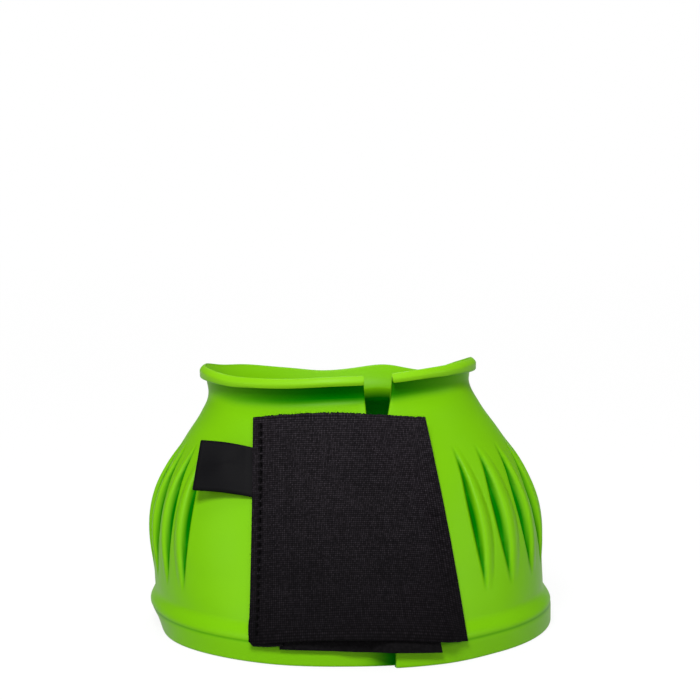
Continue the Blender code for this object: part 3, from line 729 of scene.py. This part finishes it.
def set_values(mesh, name, numbers):
    attribute = mesh.attributes.new(name, "FLOAT", "POINT")
    attribute.data.foreach_set("value", np.asarray(numbers, np.float32))


def add_object(name, data):
    made = bpy.data.objects.new(name, data)
    bpy.context.scene.collection.objects.link(made)
    return made


def numbered(shape, first=0):
    return np.arange(first, first + prod(shape)).reshape(shape)


def quads_of(grid):
    """Faces between the rows and columns of a grid of point numbers."""
    corners = [grid[:-1, :-1], grid[:-1, 1:], grid[1:, 1:], grid[1:, :-1]]
    return np.stack(corners, axis=-1).reshape(-1, 4).tolist()


def lengths(grid, axis):
    """Running length along a line of points, or along each row or column of a grid."""
    steps = np.linalg.norm(np.diff(grid, axis=axis), axis=-1)
    start = np.zeros_like(np.take(steps, [0], axis=axis))
    return np.cumsum(np.concatenate([start, steps], axis=axis), axis=axis)


def edge_distances(grid):
    """Distances of each point from the left, right, bottom and top edges."""
    across, up = lengths(grid, 1), lengths(grid, 0)
    return across, across[:, -1:] - across, up, up[-1:] - up


def edge_distance(grid):
    return np.minimum.reduce(edge_distances(grid))


def grid_normals(grid):
    rows, columns = grid.shape[:2]
    c, r = np.arange(columns), np.arange(rows)
    across = grid[:, np.minimum(c + 1, columns - 1)] - grid[:, np.maximum(c - 1, 0)]
    rise = grid[np.minimum(r + 1, rows - 1)] - grid[np.maximum(r - 1, 0)]
    return unit(np.cross(across, rise))


def edges_of(grid):
    return grid[0], grid[-1], grid[:, 0], grid[:, -1]


def tape_piece(name, inner, outer, finer=1):
    """A sheet from its two faces, with where each point lies across and up the tape."""
    inner = inner[::finer, ::finer]
    front = numbered(outer.shape[:2])
    back = numbered(inner.shape[:2], front.size)
    faces = quads_of(front) + quads_of(back)
    for line, behind in zip(edges_of(front), edges_of(back)):
        for i in range(len(behind) - 1):
            near = line[i * finer:(i + 1) * finer + 1].tolist()
            faces.append(near + [int(behind[i + 1]), int(behind[i])])
    points = np.concatenate([outer.reshape(-1, 3), inner.reshape(-1, 3)])
    values = {}
    for key, axis in (("across", 1), ("up", 0)):
        reach = lengths(outer, axis)
        values[key] = np.concatenate([reach.reshape(-1), reach[::finer, ::finer].reshape(-1)])
    return make_piece(name, points, faces, values)


# Tapes follow the lapped ends, as in the solid model

def band_rise(height):
    return HEM_BAND_PROUD * (1 - ease(HEM_BAND_HEIGHT, HEM_BAND_HEIGHT + BAND_CLEAR_HEIGHT, height))


def over_slit(x):
    """How far the under strap has climbed onto the right end."""
    return ease(SLIT_RIGHT_X - STRAP_CLIMB, SLIT_RIGHT_X - SEAT_GAP, x)


def strap_seat(x, height):
    angle = angle_at(x, height)
    on_left = -left_sink(angle, height)
    on_right = right_lift(angle, height) + PATCH_THICKNESS + SEAT_GAP
    at_hinge = STRAP_HINGE_STANDOFF * (1 - ease(0, STRAP_CLIMB, np.abs(x - STRAP_HINGE_X)))
    return mix(on_left, on_right, over_slit(x)) + at_hinge + band_rise(height) + SEAT_GAP


def flap_seat(x, height):
    strip = STRIP_THICKNESS + SEAT_GAP + 2 * FLAP_GAP
    strap = 2 * (STRAP_FACE_THICKNESS + SEAT_GAP) + FLAP_GAP
    root = mix(strip, strap, ease(FLAP_LEFT_X_TOP, STRAP_LEFT_X, x))
    patch = LAP_OUT * lap_strength(height) + PATCH_THICKNESS + SEAT_GAP
    return root + patch * ease(FLAP_CLIMB_LEFT_X, SLIT_RIGHT_X, x) + band_rise(height)


def off_shell(x, height, lift):
    angle = angle_at(x, height)
    return smooth_point(angle, height) + outward(angle, height) * lift[..., None]


def side_share(x, left, right):
    return (2 * x - left - right) / (right - left)


def tape_grid(left_x, right_x, bottom, top, seat, fall, rows, columns):
    up = np.linspace(0, 1, rows + 1)[:, None]
    across = np.linspace(0, 1, columns + 1)[None, :]
    x = mix(left_x(up), right_x(up), across)
    height = mix(bottom, top, up) - fall(x, up)
    return off_shell(x, height, seat(x, height))


def straighten(grid, column, reach):
    """Bend a tape so that one edge column lies on a straight line, for its hinge."""
    edge = grid[:, column]
    up = np.linspace(0, 1, len(grid))[:, None]
    move = mix(edge[0], edge[-1], up) - edge
    away = np.linalg.norm(grid - edge[:, None], axis=-1)
    return grid + move[:, None] * (1 - ease(0, reach, away))[..., None]


def points_along(line, length, place):
    """The points at some places along a line, counted in its running length."""
    return np.stack([np.interp(place, length, line[:, i]) for i in range(3)], axis=-1)


def points_across(row, reach):
    """The points at some lengths along a row of a grid, run on straight past its start."""
    run_on = unit(row[1] - row[0]) * np.minimum(reach, 0)[..., None]
    return points_along(row, lengths(row, 0), reach) + run_on


def upright(x):
    """An edge of a tape that stands at one x."""
    return lambda up: x + 0 * up


def on_right_end(x, height):
    """The seat of a tape bonded to the outside of the right end."""
    return right_lift(angle_at(x, height), height) + SEAT_GAP


def steps_for(length):
    return max(2, round(length / TAPE_STEP))


def flap_left_x(up):
    tuck = FLAP_TUCK_LEFT * (1 - ease(0, FLAP_TUCK_SHARE, up))
    return mix(FLAP_LEFT_X_BOTTOM, FLAP_LEFT_X_TOP, up) + tuck


def flap_right_x(up):
    return mix(FLAP_RIGHT_X_BOTTOM, FLAP_RIGHT_X_TOP, up)


def flap_fall(x, up):
    side = side_share(x, flap_left_x(up), flap_right_x(up))
    return mix(*FLAP_DROPS, up) * side * side


def flap_faces():
    """The outer flap's smooth faces, with the edge that it hinges on made straight."""
    def seat(x, height):
        edge = flap_right_x(height / FLAP_TOP)
        settle = ease(edge - FLAP_EDGE_BEND, edge, x)
        standoff = mix(*FLAP_HINGE_STANDOFFS, height / FLAP_TOP)
        return mix(flap_seat(x, height), standoff, settle)

    def fall(x, up):
        corner = rounding(x - flap_left_x(up), FLAP_CORNER_ROUND)
        near_foot = 1 - ease(0, 3 * FLAP_CORNER_ROUND / FLAP_TOP, up)
        return flap_fall(x, up) - corner * near_foot

    rows = FLAP_THREADS_UP * THREAD_SAMPLES
    columns = FLAP_THREADS_ACROSS * THREAD_SAMPLES
    inner = tape_grid(flap_left_x, flap_right_x, FLAP_BOTTOM, FLAP_TOP, seat, fall, rows, columns)
    inner = straighten(inner, -1, FLAP_EDGE_BEND)
    outer = inner + grid_normals(inner) * FLAP_THICKNESS
    outer = straighten(outer, -1, FLAP_EDGE_BEND)
    up = np.linspace(0, 1, rows + 1)[:, None]
    spare = FLAP_EXTRA_RIGHT * (1 - up) + FLAP_BULGE_RIGHT * np.sin(pi * up)
    reach = lengths(outer, 1)
    spare = spare * ease(FLAP_EDGE_BEND, 0, reach[:, -1:] - reach)
    across = unit(outer[:, -1:] - outer[:, -THREAD_SAMPLES:][:, :1])
    return inner + across * spare[..., None], outer + across * spare[..., None]


def weave_relief(rows, columns, chance):
    """Plain weave: over and under threads, each a little thicker or thinner than the next."""
    r, c = np.arange(rows)[:, None], np.arange(columns)[None, :]
    cell_r, cell_c = r // THREAD_SAMPLES, c // THREAD_SAMPLES
    off_r, off_c = [(i % THREAD_SAMPLES - 1) / THREAD_SAMPLES for i in (r, c)]
    warp = np.cos(pi * off_r) * (1 - WEAVE_ACROSS_FALL * off_c ** 2)
    weft = (1 - WEAVE_ACROSS_FALL * off_r ** 2) * np.cos(pi * off_c)
    warp_size = mix(*WEAVE_THREAD_SIZES, chance.random(columns))[cell_c]
    weft_size = mix(*WEAVE_THREAD_SIZES, chance.random(rows))[cell_r]
    crossing = mix(*WEAVE_CROSSING_SIZES, chance.random((cell_r.max() + 1, cell_c.max() + 1)))
    warp_on_top = (cell_r + cell_c) % 2 == 0
    return crossing[cell_r, cell_c] * np.where(warp_on_top, warp * warp_size, weft * weft_size)


def stitch_places(outer):
    """The seam's line, its running length, and where the thread goes down through the flap."""
    line = np.array([points_across(row, STITCH_INSET) for row in outer])
    length = lengths(line, 0)
    count = round((length[-1] - 2 * STITCH_MARGIN) / STITCH_PITCH)
    at = np.linspace(STITCH_MARGIN, length[-1] - STITCH_MARGIN, count + 1)
    return line, length, at


def build_flap(chance):
    inner, outer = flap_faces()
    left, right, bottom, top = edge_distances(outer)
    normals = grid_normals(outer)
    relief = weave_relief(*outer.shape[:2], chance)
    woven = ease(*SELVEDGE, left)
    height = relief * WEAVE_HEIGHT * mix(SELVEDGE_HEIGHT_SHARE, 1, woven)
    height = height - rounding(edge_distance(outer), TAPE_EDGE_ROUND)
    line, length, at = stitch_places(outer)
    dents = np.zeros_like(height)
    downline = unit(line[-1] - line[0])
    for place in (at[1:] + at[:-1]) / 2:
        away = outer - points_along(line, length, place)
        lengthways = away @ downline
        sideways = np.linalg.norm(away - lengthways[..., None] * downline, axis=-1)
        lengthways, sideways = lengthways / STITCH_DENT_LENGTH, sideways / STITCH_DENT_WIDTH
        dents = dents + np.exp(-lengthways ** 4 - sideways ** 2)
    height = height - STITCH_DENT_DEPTH * dents
    slow = 0
    for share, across, turn, up, lean in FLAP_SAG_WAVES:
        slow = slow + share * np.sin(left / across + turn) * np.sin(bottom / up + lean)
    sag = FLAP_SAG * slow * ease(0, FLAP_SAG_FROM_SIDE, np.minimum(left, right))
    surface = outer + normals * (height + sag * ease(0, FLAP_SAG_FROM_FOOT, bottom))[..., None]
    ragged = np.repeat(chance.normal(0, FRAY, FLAP_THREADS_ACROSS + 1), THREAD_SAMPLES)
    ragged = (1 - ease(0, FRAY_REACH, top)) * ragged[None, :surface.shape[1]]
    surface = surface + ragged[..., None] * unit(outer[-1] - outer[-2])[None]
    made = tape_piece("woven_flap", inner, surface, THREAD_SAMPLES)
    # The weave value is painted light and shade: thread crests lighter, gaps and stitch holes
    # darker, the selvedge and back face less lit
    weave = np.full(len(made.data.vertices), WEAVE_BEHIND)
    shown = np.clip(relief, 0, None) ** WEAVE_SHOWN_POWER * mix(SELVEDGE_LIGHT_SHARE, 1, woven)
    shown = shown * (1 - np.clip(dents, 0, 1))
    weave[:relief.size] = shown.reshape(-1)
    set_values(made.data, "weave", weave)
    return made, inner, outer


def tube_faces(first, stations, sides):
    """Faces of a closed tube whose points are numbered from first, ring by ring."""
    index = numbered((stations, sides), first)
    around = np.concatenate([index, index[:, :1]], axis=1)
    return quads_of(around) + [index[0].tolist(), index[-1, ::-1].tolist()]


def build_stitches(outer):
    """Twisted stitches, each of which comes up out of one hole and dips into the next."""
    line, length, at = stitch_places(outer)
    column = np.argmin(np.abs(lengths(outer, 1)[0] - STITCH_INSET))
    line_normals = grid_normals(outer)[:, column]
    turn = np.linspace(0, FULL_TURN, STITCH_SIDES, endpoint=False)
    share = np.linspace(0, 1, STITCH_STATIONS)
    points, faces = [], []
    for low, high in zip(at[:-1], at[1:]):
        place = mix(low, high, mix(*STITCH_SPAN_SHARES, share))
        up = unit(points_along(line_normals, length, place))
        lift = mix(-THREAD_SINK, THREAD_RISE, np.sin(pi * share) ** THREAD_ARCH_POWER)
        centre = points_along(line, length, place) + up * lift[:, None]
        forward = unit(np.gradient(centre, axis=0))
        side = unit(np.cross(forward, up))
        top = np.cross(side, forward)
        twist = share * (high - low) / THREAD_HALF_TURN * pi
        radius = THREAD_RADIUS * (1 + THREAD_PLY * np.cos(2 * (turn[None, :] + twist[:, None])))
        ring = np.cos(turn)[:, None] * side[:, None] + np.sin(turn)[:, None] * top[:, None]
        ring = centre[:, None] + radius[..., None] * ring
        faces += tube_faces(len(points) * ring[..., 0].size, STITCH_STATIONS, STITCH_SIDES)
        points.append(ring.reshape(-1, 3))
    return make_piece("seam_stitches", np.concatenate(points), faces, {})


def build_fuzz(outer, chance):
    """Short loose fibres along the flap's cut edges."""
    normals = grid_normals(outer)
    roots = []
    for edge, within, behind, count in (
        (outer[-1], outer[-2], normals[-1], FUZZ_ON_TOP),
        (outer[:, 0], outer[:, 1], normals[:, 0], FUZZ_ON_SIDE),
    ):
        for _ in range(count):
            i = int(chance.integers(FUZZ_CLEAR, len(edge) - FUZZ_CLEAR))
            way = unit(edge[i] - within[i]) + FUZZ_SPREAD * unit(chance.normal(size=3))
            roots.append((edge[i] - behind[i] * FLAP_THICKNESS * chance.random(), unit(way)))
    points, faces = [], []
    for root, way in roots:
        reach = mix(*FUZZ_LENGTH, chance.random() ** 2)
        side = unit(np.cross(way, chance.normal(size=3)))
        other = np.cross(way, side)
        faces += tube_faces(len(points), len(FUZZ_RINGS), FUZZ_SIDES)
        for share, size in FUZZ_RINGS:
            middle = root - way * FUZZ_ROOT + way * reach * share
            middle = middle + other * reach * FUZZ_BEND * share * share
            for turn in np.linspace(0, FULL_TURN, FUZZ_SIDES, endpoint=False):
                spoke = side * cos(turn) + other * sin(turn)
                points.append(middle + FUZZ_RADIUS * size * spoke)
    return make_piece("edge_fibres", np.array(points), faces, {})


def rounded_sheet(name, inner, outer, radius=TAPE_EDGE_ROUND):
    """A plainer tape: both faces with their edges rounded over."""
    edge = rounding(edge_distance(outer), radius)
    return tape_piece(name, inner, outer - grid_normals(outer) * edge[..., None])


def build_strip(flap_inner):
    """The second layer sewn behind the flap's free edge."""
    along_edge = unit(flap_inner[-1, 0] - flap_inner[0, 0])
    reaches = np.linspace(-STRIP_OVERHANG, STRIP_WIDTH, steps_for(STRIP_WIDTH + STRIP_OVERHANG) + 1)
    outer, inner = [], []
    for number, row in enumerate(flap_inner[::THREAD_SAMPLES]):
        normal = unit(np.cross(unit(row[STRIP_AIM] - row[0]), along_edge))
        lower = STRIP_LOWER * (1 - ease(0, STRIP_LOWER_ROWS, number))
        line = points_across(row, reaches) - normal * SEAT_GAP - along_edge * lower
        outer.append(line)
        inner.append(line - normal * STRIP_THICKNESS)
    return rounded_sheet("edge_strip", np.array(inner), np.array(outer))


def build_flap_root(flap_inner):
    """The end of the flap's tape, turned under along the hinge and bonded to the shell."""
    on_shell = tape_grid(
        lambda up: flap_right_x(up) - FLAP_ROOT_WIDTH, flap_right_x, FLAP_BOTTOM, FLAP_TOP,
        lambda x, height: on_right_end(x, height) + band_rise(height),
        flap_fall, FLAP_THREADS_UP, FLAP_ROOT_COLUMNS,
    )
    reaches = np.linspace(FLAP_ROOT_WIDTH, 0, FLAP_ROOT_COLUMNS + 1)
    under_flap = []
    for row, feet in zip(flap_inner[::THREAD_SAMPLES], on_shell):
        on_flap = points_across(row[::-1], reaches)
        under_flap.append(on_flap + unit(feet - on_flap) * SEAT_GAP)
    return rounded_sheet("flap_root_fold", on_shell, np.array(under_flap), 2 * TAPE_EDGE_ROUND)


def build_patch():
    rows = steps_for(PATCH_TOP - PATCH_BOTTOM)
    columns = steps_for(FLAP_RIGHT_X_BOTTOM - PATCH_LEFT_X)
    inner = tape_grid(
        upright(PATCH_LEFT_X), lambda up: flap_right_x(up) - PATCH_INSET, PATCH_BOTTOM, PATCH_TOP,
        on_right_end, lambda x, up: 0 * x, rows, columns,
    )
    outer = inner + grid_normals(inner) * PATCH_THICKNESS
    return rounded_sheet("hook_patch", inner, outer)


def strap_right_x(up):
    return mix(STRAP_RIGHT_X_BOTTOM, STRAP_RIGHT_X_TOP, up)


def build_under_strap():
    """The under strap's two tapes back to back, from the bonded end to the free end."""
    def fall(x, up):
        side = side_share(x, STRAP_LEFT_X, strap_right_x(up))
        slant = (STRAP_SLANT * side - STRAP_LEVEL * over_slit(x)) * (1 - up)
        return mix(*STRAP_DROPS, up) * side * side + slant

    rows = steps_for(STRAP_TOP - STRAP_BOTTOM)
    columns = steps_for(STRAP_RIGHT_X_BOTTOM - STRAP_LEFT_X)
    layers = [tape_grid(
        upright(STRAP_LEFT_X), strap_right_x, STRAP_BOTTOM, STRAP_TOP,
        strap_seat, fall, rows, columns,
    )]
    for rise in (STRAP_FACE_THICKNESS, SEAT_GAP / 2, STRAP_FACE_THICKNESS):
        layers.append(layers[-1] + grid_normals(layers[-1]) * rise)
    hooks = rounded_sheet("under_strap_hooks", layers[0], layers[1])
    loops = rounded_sheet("under_strap_loops", layers[2], layers[3])
    return hooks, loops


def build_tab(flap_inner):
    """A ribbon folded on itself, sewn at the flap's free edge, that rises a little off it."""
    hinge, axis = joint_line("tab_hinge")
    hinge = hinge - CENTRE
    row = flap_inner[len(flap_inner) // 2]
    across = row[0] - row[TAB_AIM]
    across = unit(across - axis * across.dot(axis))
    normal = np.cross(across, axis)
    if normal[1] > 0:
        normal = -normal
    across = across * cos(TAB_SPRING_ANGLE) + normal * sin(TAB_SPRING_ANGLE)
    normal = unit(normal - across * normal.dot(across))
    gap = (TAB_SLOT + TAB_LAYER) / 2
    leg = np.linspace(-TAB_TUCK, TAB_LENGTH - gap - TAB_LAYER / 2, TAB_LEG_STEPS)
    bend = np.linspace(-pi / 2, pi / 2, TAB_BEND_STEPS)[1:-1]
    reach = np.concatenate([leg, leg[-1] + gap * np.cos(bend), leg[::-1]])
    side = np.concatenate([-np.ones(TAB_LEG_STEPS), np.sin(bend), np.ones(TAB_LEG_STEPS)])
    share = np.clip(reach / TAB_LENGTH, 0, 1)
    pinch = mix(TAB_LAYER / 2 + SEAT_GAP / 4, gap, ease(0, TAB_PINCH, reach))
    grid = []
    for up in np.linspace(0, 1, TAB_ROWS):
        height = mix(TAB_BOTTOM, TAB_TOP, up)
        base = hinge + axis * ((height - hinge[2]) / axis[2]) - normal * FLAP_THICKNESS
        forward = reach + TAB_SWEEP * (1 - up) * share
        out = side * pinch + TAB_PUFF * sin(pi * up) * np.sin(pi * share) ** 2
        rise = TAB_RISE * share + TAB_BOW * np.sin(pi * share)
        grid.append(
            base + across * forward[:, None] + axis * rise[:, None] + normal * out[:, None]
        )
    grid = np.array(grid)
    _, _, bottom, top = edge_distances(grid)
    half = TAB_LAYER / 2 - TAB_EDGE_SHARE * rounding(np.minimum(bottom, top), TAB_LAYER / 2)
    half = grid_normals(grid) * half[..., None]
    return tape_piece("ribbon_tab", grid - half, grid + half)


# Materials

def new_material(name):
    made = bpy.data.materials.new(name)
    made.use_nodes = True
    return made, made.node_tree


def feed(tree, made, inputs):
    """Set a node's inputs to values, or link them to other nodes' outputs."""
    for key, value in inputs.items():
        if isinstance(value, bpy.types.NodeSocket):
            tree.links.new(value, made.inputs[key])
        else:
            made.inputs[key].default_value = value


def node(tree, kind, inputs, **settings):
    made = tree.nodes.new("ShaderNode" + kind)
    for key, value in settings.items():
        setattr(made, key, value)
    feed(tree, made, inputs)
    return made


def position(tree):
    return node(tree, "NewGeometry", {}).outputs["Position"]


def point_value(tree, name):
    return node(tree, "Attribute", {}, attribute_name=name).outputs["Fac"]


def noise(tree, name, vector):
    scale, detail = NOISES[name]
    made = node(tree, "TexNoise", {"Vector": vector, "Scale": scale, "Detail": detail})
    return made.outputs["Fac"]


def math_node(tree, operation, *values):
    return node(tree, "Math", dict(enumerate(values)), operation=operation).outputs[0]


def times(tree, first, second):
    return math_node(tree, "MULTIPLY", first, second)


def ranged(tree, value, low, high):
    """A value from 0 to 1, brought to run from low to high."""
    return math_node(tree, "MULTIPLY_ADD", value, high - low, low)


def blend_colour(tree, share, first, second):
    first, second = [(*end, 1) if isinstance(end, tuple) else end for end in (first, second)]
    return node(tree, "Mix", {0: share, 6: first, 7: second}, data_type="RGBA").outputs[2]


def dress(tree, colour, specular, roughness, relief, depth, strength, **more):
    """Set the shader's looks, with its relief as bump."""
    bump = node(tree, "Bump", {"Height": relief, "Distance": depth, "Strength": strength})
    looks = {"Base Color": colour, "Specular IOR Level": specular, "Roughness": roughness}
    looks.update(more, Normal=bump.outputs["Normal"])
    feed(tree, tree.nodes["Principled BSDF"], looks)


def rubber():
    made, tree = new_material("lime_rubber")
    place = position(tree)
    painted_shade = point_value(tree, "painted_shade")
    colour = blend_colour(tree, noise(tree, "clouds", place), *LIME_COLOURS)
    # Painted shade: the painted_shade value mixes in a deep green, up to 1
    colour = blend_colour(tree, painted_shade, colour, PAINTED_SHADE_COLOUR)
    # Past 1 the same value mixes in a brighter green, painted light for the inner wall
    colour = blend_colour(tree, math_node(tree, "SUBTRACT", painted_shade, 1.0), colour, INSIDE_PAINTED_LIGHT_COLOUR)
    # Lighter cut edges: partly wear, partly a painted highlight
    wear_and_highlight = times(tree, point_value(tree, "edge"), WEAR_AND_HIGHLIGHT_SHARE)
    colour = blend_colour(tree, wear_and_highlight, colour, WEAR_AND_HIGHLIGHT_COLOUR)
    specular = ranged(tree, math_node(tree, "MINIMUM", painted_shade, 1.0), *RUBBER_SPECULARS)
    roughness = ranged(tree, noise(tree, "dull", place), *RUBBER_ROUGHNESSES)
    grain = times(tree, noise(tree, "grain", place), 1 - PEEL_SHARE)
    relief = math_node(tree, "MULTIPLY_ADD", noise(tree, "peel", place), PEEL_SHARE, grain)
    dress(tree, colour, specular, roughness, relief, *RUBBER_BUMP, IOR=RUBBER_IOR)
    return made


def tape_vector(tree):
    inputs = {0: point_value(tree, "across"), 1: point_value(tree, "up")}
    return node(tree, "CombineXYZ", inputs).outputs[0]


def wave_pattern(tree, name, pitch):
    """A smooth wave of a point value given in metres, from 0 to 1."""
    turned = math_node(tree, "SINE", times(tree, point_value(tree, name), FULL_TURN / pitch))
    return ranged(tree, turned, 0.5, 1.0)


def fabric(made, share, fibres, relief, **more):
    """Give a fabric the looks of its row of the table: share goes from dark to light."""
    tree = made.node_tree
    dark, light, specular, roughness, *bump = FABRICS[made.name]
    if isinstance(roughness, tuple):
        roughness = ranged(tree, fibres, *roughness)
    dress(tree, blend_colour(tree, share, dark, light), specular, roughness, relief, *bump, **more)
    return made


def patterned(made, pattern, fibres, lights, fibre_share):
    """A fabric lit and raised by a pattern, with finer fibres on it."""
    tree = made.node_tree
    share = times(tree, pattern, ranged(tree, fibres, *lights))
    relief = math_node(tree, "MULTIPLY_ADD", fibres, fibre_share, pattern)
    return fabric(made, share, fibres, relief)


def woven_tape():
    made, tree = new_material("woven_tape")
    vector = tape_vector(tree)
    streaks = noise(tree, "streaks", vector)
    # Painted light: the flap is painted lighter towards its top
    raised = times(tree, point_value(tree, "up"), 1 / (FLAP_TOP - FLAP_BOTTOM))
    # The weave value is painted light on the thread crests and painted shade in the gaps and stitch
    # holes
    light = times(tree, point_value(tree, "weave"), ranged(tree, streaks, *WOVEN_STREAK_LIGHTS))
    light = times(tree, light, ranged(tree, noise(tree, "patches", vector), *WOVEN_PATCH_LIGHTS))
    light = times(tree, light, ranged(tree, raised, *WOVEN_PAINTED_LIGHT_UPWARD))
    return fabric(made, light, streaks, noise(tree, "weave", vector))


def webbing():
    """A tape whose weave is too fine or too hidden for geometry."""
    made, tree = new_material("plain_webbing")
    fibres = noise(tree, "webbing", tape_vector(tree))
    across = wave_pattern(tree, "across", WEBBING_PITCH)
    weave = times(tree, across, wave_pattern(tree, "up", WEBBING_PITCH))
    return patterned(made, weave, fibres, WEBBING_LIGHTS, WEBBING_FIBRE_SHARE)


def fastener_tape(name, scale):
    """Hooks or loops: a dense field of small tufts."""
    made, tree = new_material(name)
    vector = tape_vector(tree)
    cells = node(tree, "TexVoronoi", {"Vector": vector, "Scale": scale})
    tuft = math_node(tree, "SUBTRACT", 1.0, cells.outputs["Distance"])
    fibres = noise(tree, "tufts", vector)
    return patterned(made, tuft, fibres, TUFT_LIGHTS, TUFT_FIBRE_SHARE)


def ribbon():
    made, tree = new_material("satin_ribbon")
    ribs = wave_pattern(tree, "across", RIBBON_PITCH)
    stretched = node(tree, "Mapping", {"Vector": tape_vector(tree), "Scale": RIBBON_STRETCH})
    lines = noise(tree, "ribbon", stretched.outputs["Vector"])
    relief = math_node(tree, "MULTIPLY_ADD", lines, RIBBON_LINE_SHARE, ribs)
    return fabric(made, lines, lines, relief, Anisotropic=RIBBON_ANISOTROPY)


def sewing_thread():
    made, tree = new_material("sewing_thread")
    fibres = noise(tree, "thread", position(tree))
    return fabric(made, fibres, fibres, fibres)


def seen_by(tree, other):
    """1 for what the camera, or one other kind of ray, sees."""
    ray = node(tree, "LightPath", {})
    return math_node(tree, "MAXIMUM", ray.outputs["Is Camera Ray"], ray.outputs[other])


def show_white(tree, kind, share, plain, output):
    """Mix a share of white of strength 1 into a floor or a world."""
    white = node(tree, kind, {"Color": WHITE, "Strength": 1.0})
    mixed = node(tree, "MixShader", {0: share, 1: plain.outputs[0], 2: white.outputs[0]})
    feed(tree, tree.nodes[output], {"Surface": mixed.outputs[0]})


def floor_material():
    """A floor that the camera sees as white, but for the object's soft shadow."""
    made, tree = new_material("pale_floor")
    seen = seen_by(tree, "Is Glossy Ray")
    plain = tree.nodes["Principled BSDF"]
    colour = blend_colour(tree, seen, *FLOOR_COLOURS)
    looks = {"Base Color": colour, "Specular IOR Level": 0.0, "Roughness": FLOOR_ROUGHNESS}
    feed(tree, plain, looks)
    away = node(tree, "VectorMath", {0: position(tree)}, operation="LENGTH").outputs["Value"]
    limits = enumerate((away, *FLOOR_WHITE_REACH, *FLOOR_WHITE_SHARES))
    white_share = node(tree, "MapRange", dict(limits)).outputs["Result"]
    show_white(tree, "Emission", times(tree, seen, white_share), plain, "Material Output")
    return made


# Stage, lights and camera

def build_floor():
    corners = [(FLOOR_HALF * x, FLOOR_HALF * y, 0) for x, y in ((-1, -1), (1, -1), (1, 1), (-1, 1))]
    mesh = bpy.data.meshes.new("floor")
    mesh.from_pydata(corners, [], [(0, 1, 2, 3)])
    mesh.materials.append(floor_material())
    floor = add_object("floor", mesh)
    floor.location.z = cad_low.z - FLOOR_GAP


def build_world():
    world = bpy.data.worlds.new("studio")
    bpy.context.scene.world = world
    world.use_nodes = True
    tree = world.node_tree
    plain = tree.nodes["Background"]
    feed(tree, plain, {"Color": WHITE, "Strength": WORLD_LIGHT})
    show_white(tree, "Background", seen_by(tree, "Is Transmission Ray"), plain, "World Output")


def softbox(name, azimuth, elevation, distance, width, height, power):
    """A rectangular lamp aimed at the boot. Azimuth 0 is in front of the closure."""
    lamp = bpy.data.lights.new(name, "AREA")
    lamp.shape = "RECTANGLE"
    lamp.size = width
    lamp.size_y = height
    lamp.energy = power
    azimuth, elevation = radians(azimuth), radians(elevation)
    level = cos(elevation)
    way = Vector((sin(azimuth) * level, -cos(azimuth) * level, sin(elevation)))
    made = add_object(name, lamp)
    made.location = Vector((0, 0, (cad_low.z + cad_high.z) / 2)) + way * distance
    made.rotation_euler = way.to_track_quat("Z", "Y").to_euler()


def build_camera():
    camera = add_object("camera", bpy.data.cameras.new("camera"))
    pitch = CAMERA_ELEVATION - atan((HEM_PIXEL_Y - PICTURE / 2) / FOCAL_PIXELS)
    back, up = cos(CAMERA_ELEVATION), sin(CAMERA_ELEVATION)
    camera.location = (0, -CAMERA_DISTANCE * back, CAMERA_DISTANCE * up)
    camera.rotation_euler = (pi / 2 - pitch, 0, 0)
    camera.data.sensor_width = SENSOR
    camera.data.lens = SENSOR * FOCAL_PIXELS / PICTURE
    bpy.context.scene.camera = camera


def finish_piece(made, material, nodes, body=None):
    made.data.materials.append(material)
    if body:
        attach(made, body)
    if nodes:
        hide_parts(*nodes)


def joint_line(name):
    joint = next(j for j in frame["joints"] if j["name"] == name)
    return np.array(joint["pos_m"]), unit(np.array(joint["axis"]))


def main():
    chance = np.random.default_rng(SEED)
    build_camera()
    build_world()
    for name, values in LAMPS.items():
        softbox(name, *values)
    build_floor()

    shell = build_shell()
    finish_piece(shell, rubber(), ["shell"], "boot")

    weave = woven_tape()
    flap, inner, outer = build_flap(chance)
    finish_piece(flap, weave, ["outer_flap"])
    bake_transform(flap)

    plain = webbing()
    hooks = fastener_tape("hook_tape", HOOK_SCALE)
    loops = fastener_tape("loop_tape", LOOP_SCALE)

    finish_piece(build_strip(inner), plain, ["flap_edge_strip"], "flap")
    finish_piece(build_stitches(outer), sewing_thread(), ["edge_stitching"], "flap")
    finish_piece(build_fuzz(outer, chance), weave, [], "flap")
    finish_piece(build_flap_root(inner), plain, ["flap_root"], "boot")
    finish_piece(build_patch(), hooks, ["anchor_patch"], "boot")

    strap_hooks, strap_loops = build_under_strap()
    finish_piece(strap_hooks, hooks, ["under_strap_inner_face", "under_strap_root"])
    finish_piece(strap_loops, loops, ["under_strap_outer_face"])
    for strap in (strap_hooks, strap_loops):
        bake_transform(strap)

    tab = build_tab(inner)
    finish_piece(tab, ribbon(), ["pull_tab"])
    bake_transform(tab)

    bpy.context.scene.view_settings.view_transform = "Standard"


main()
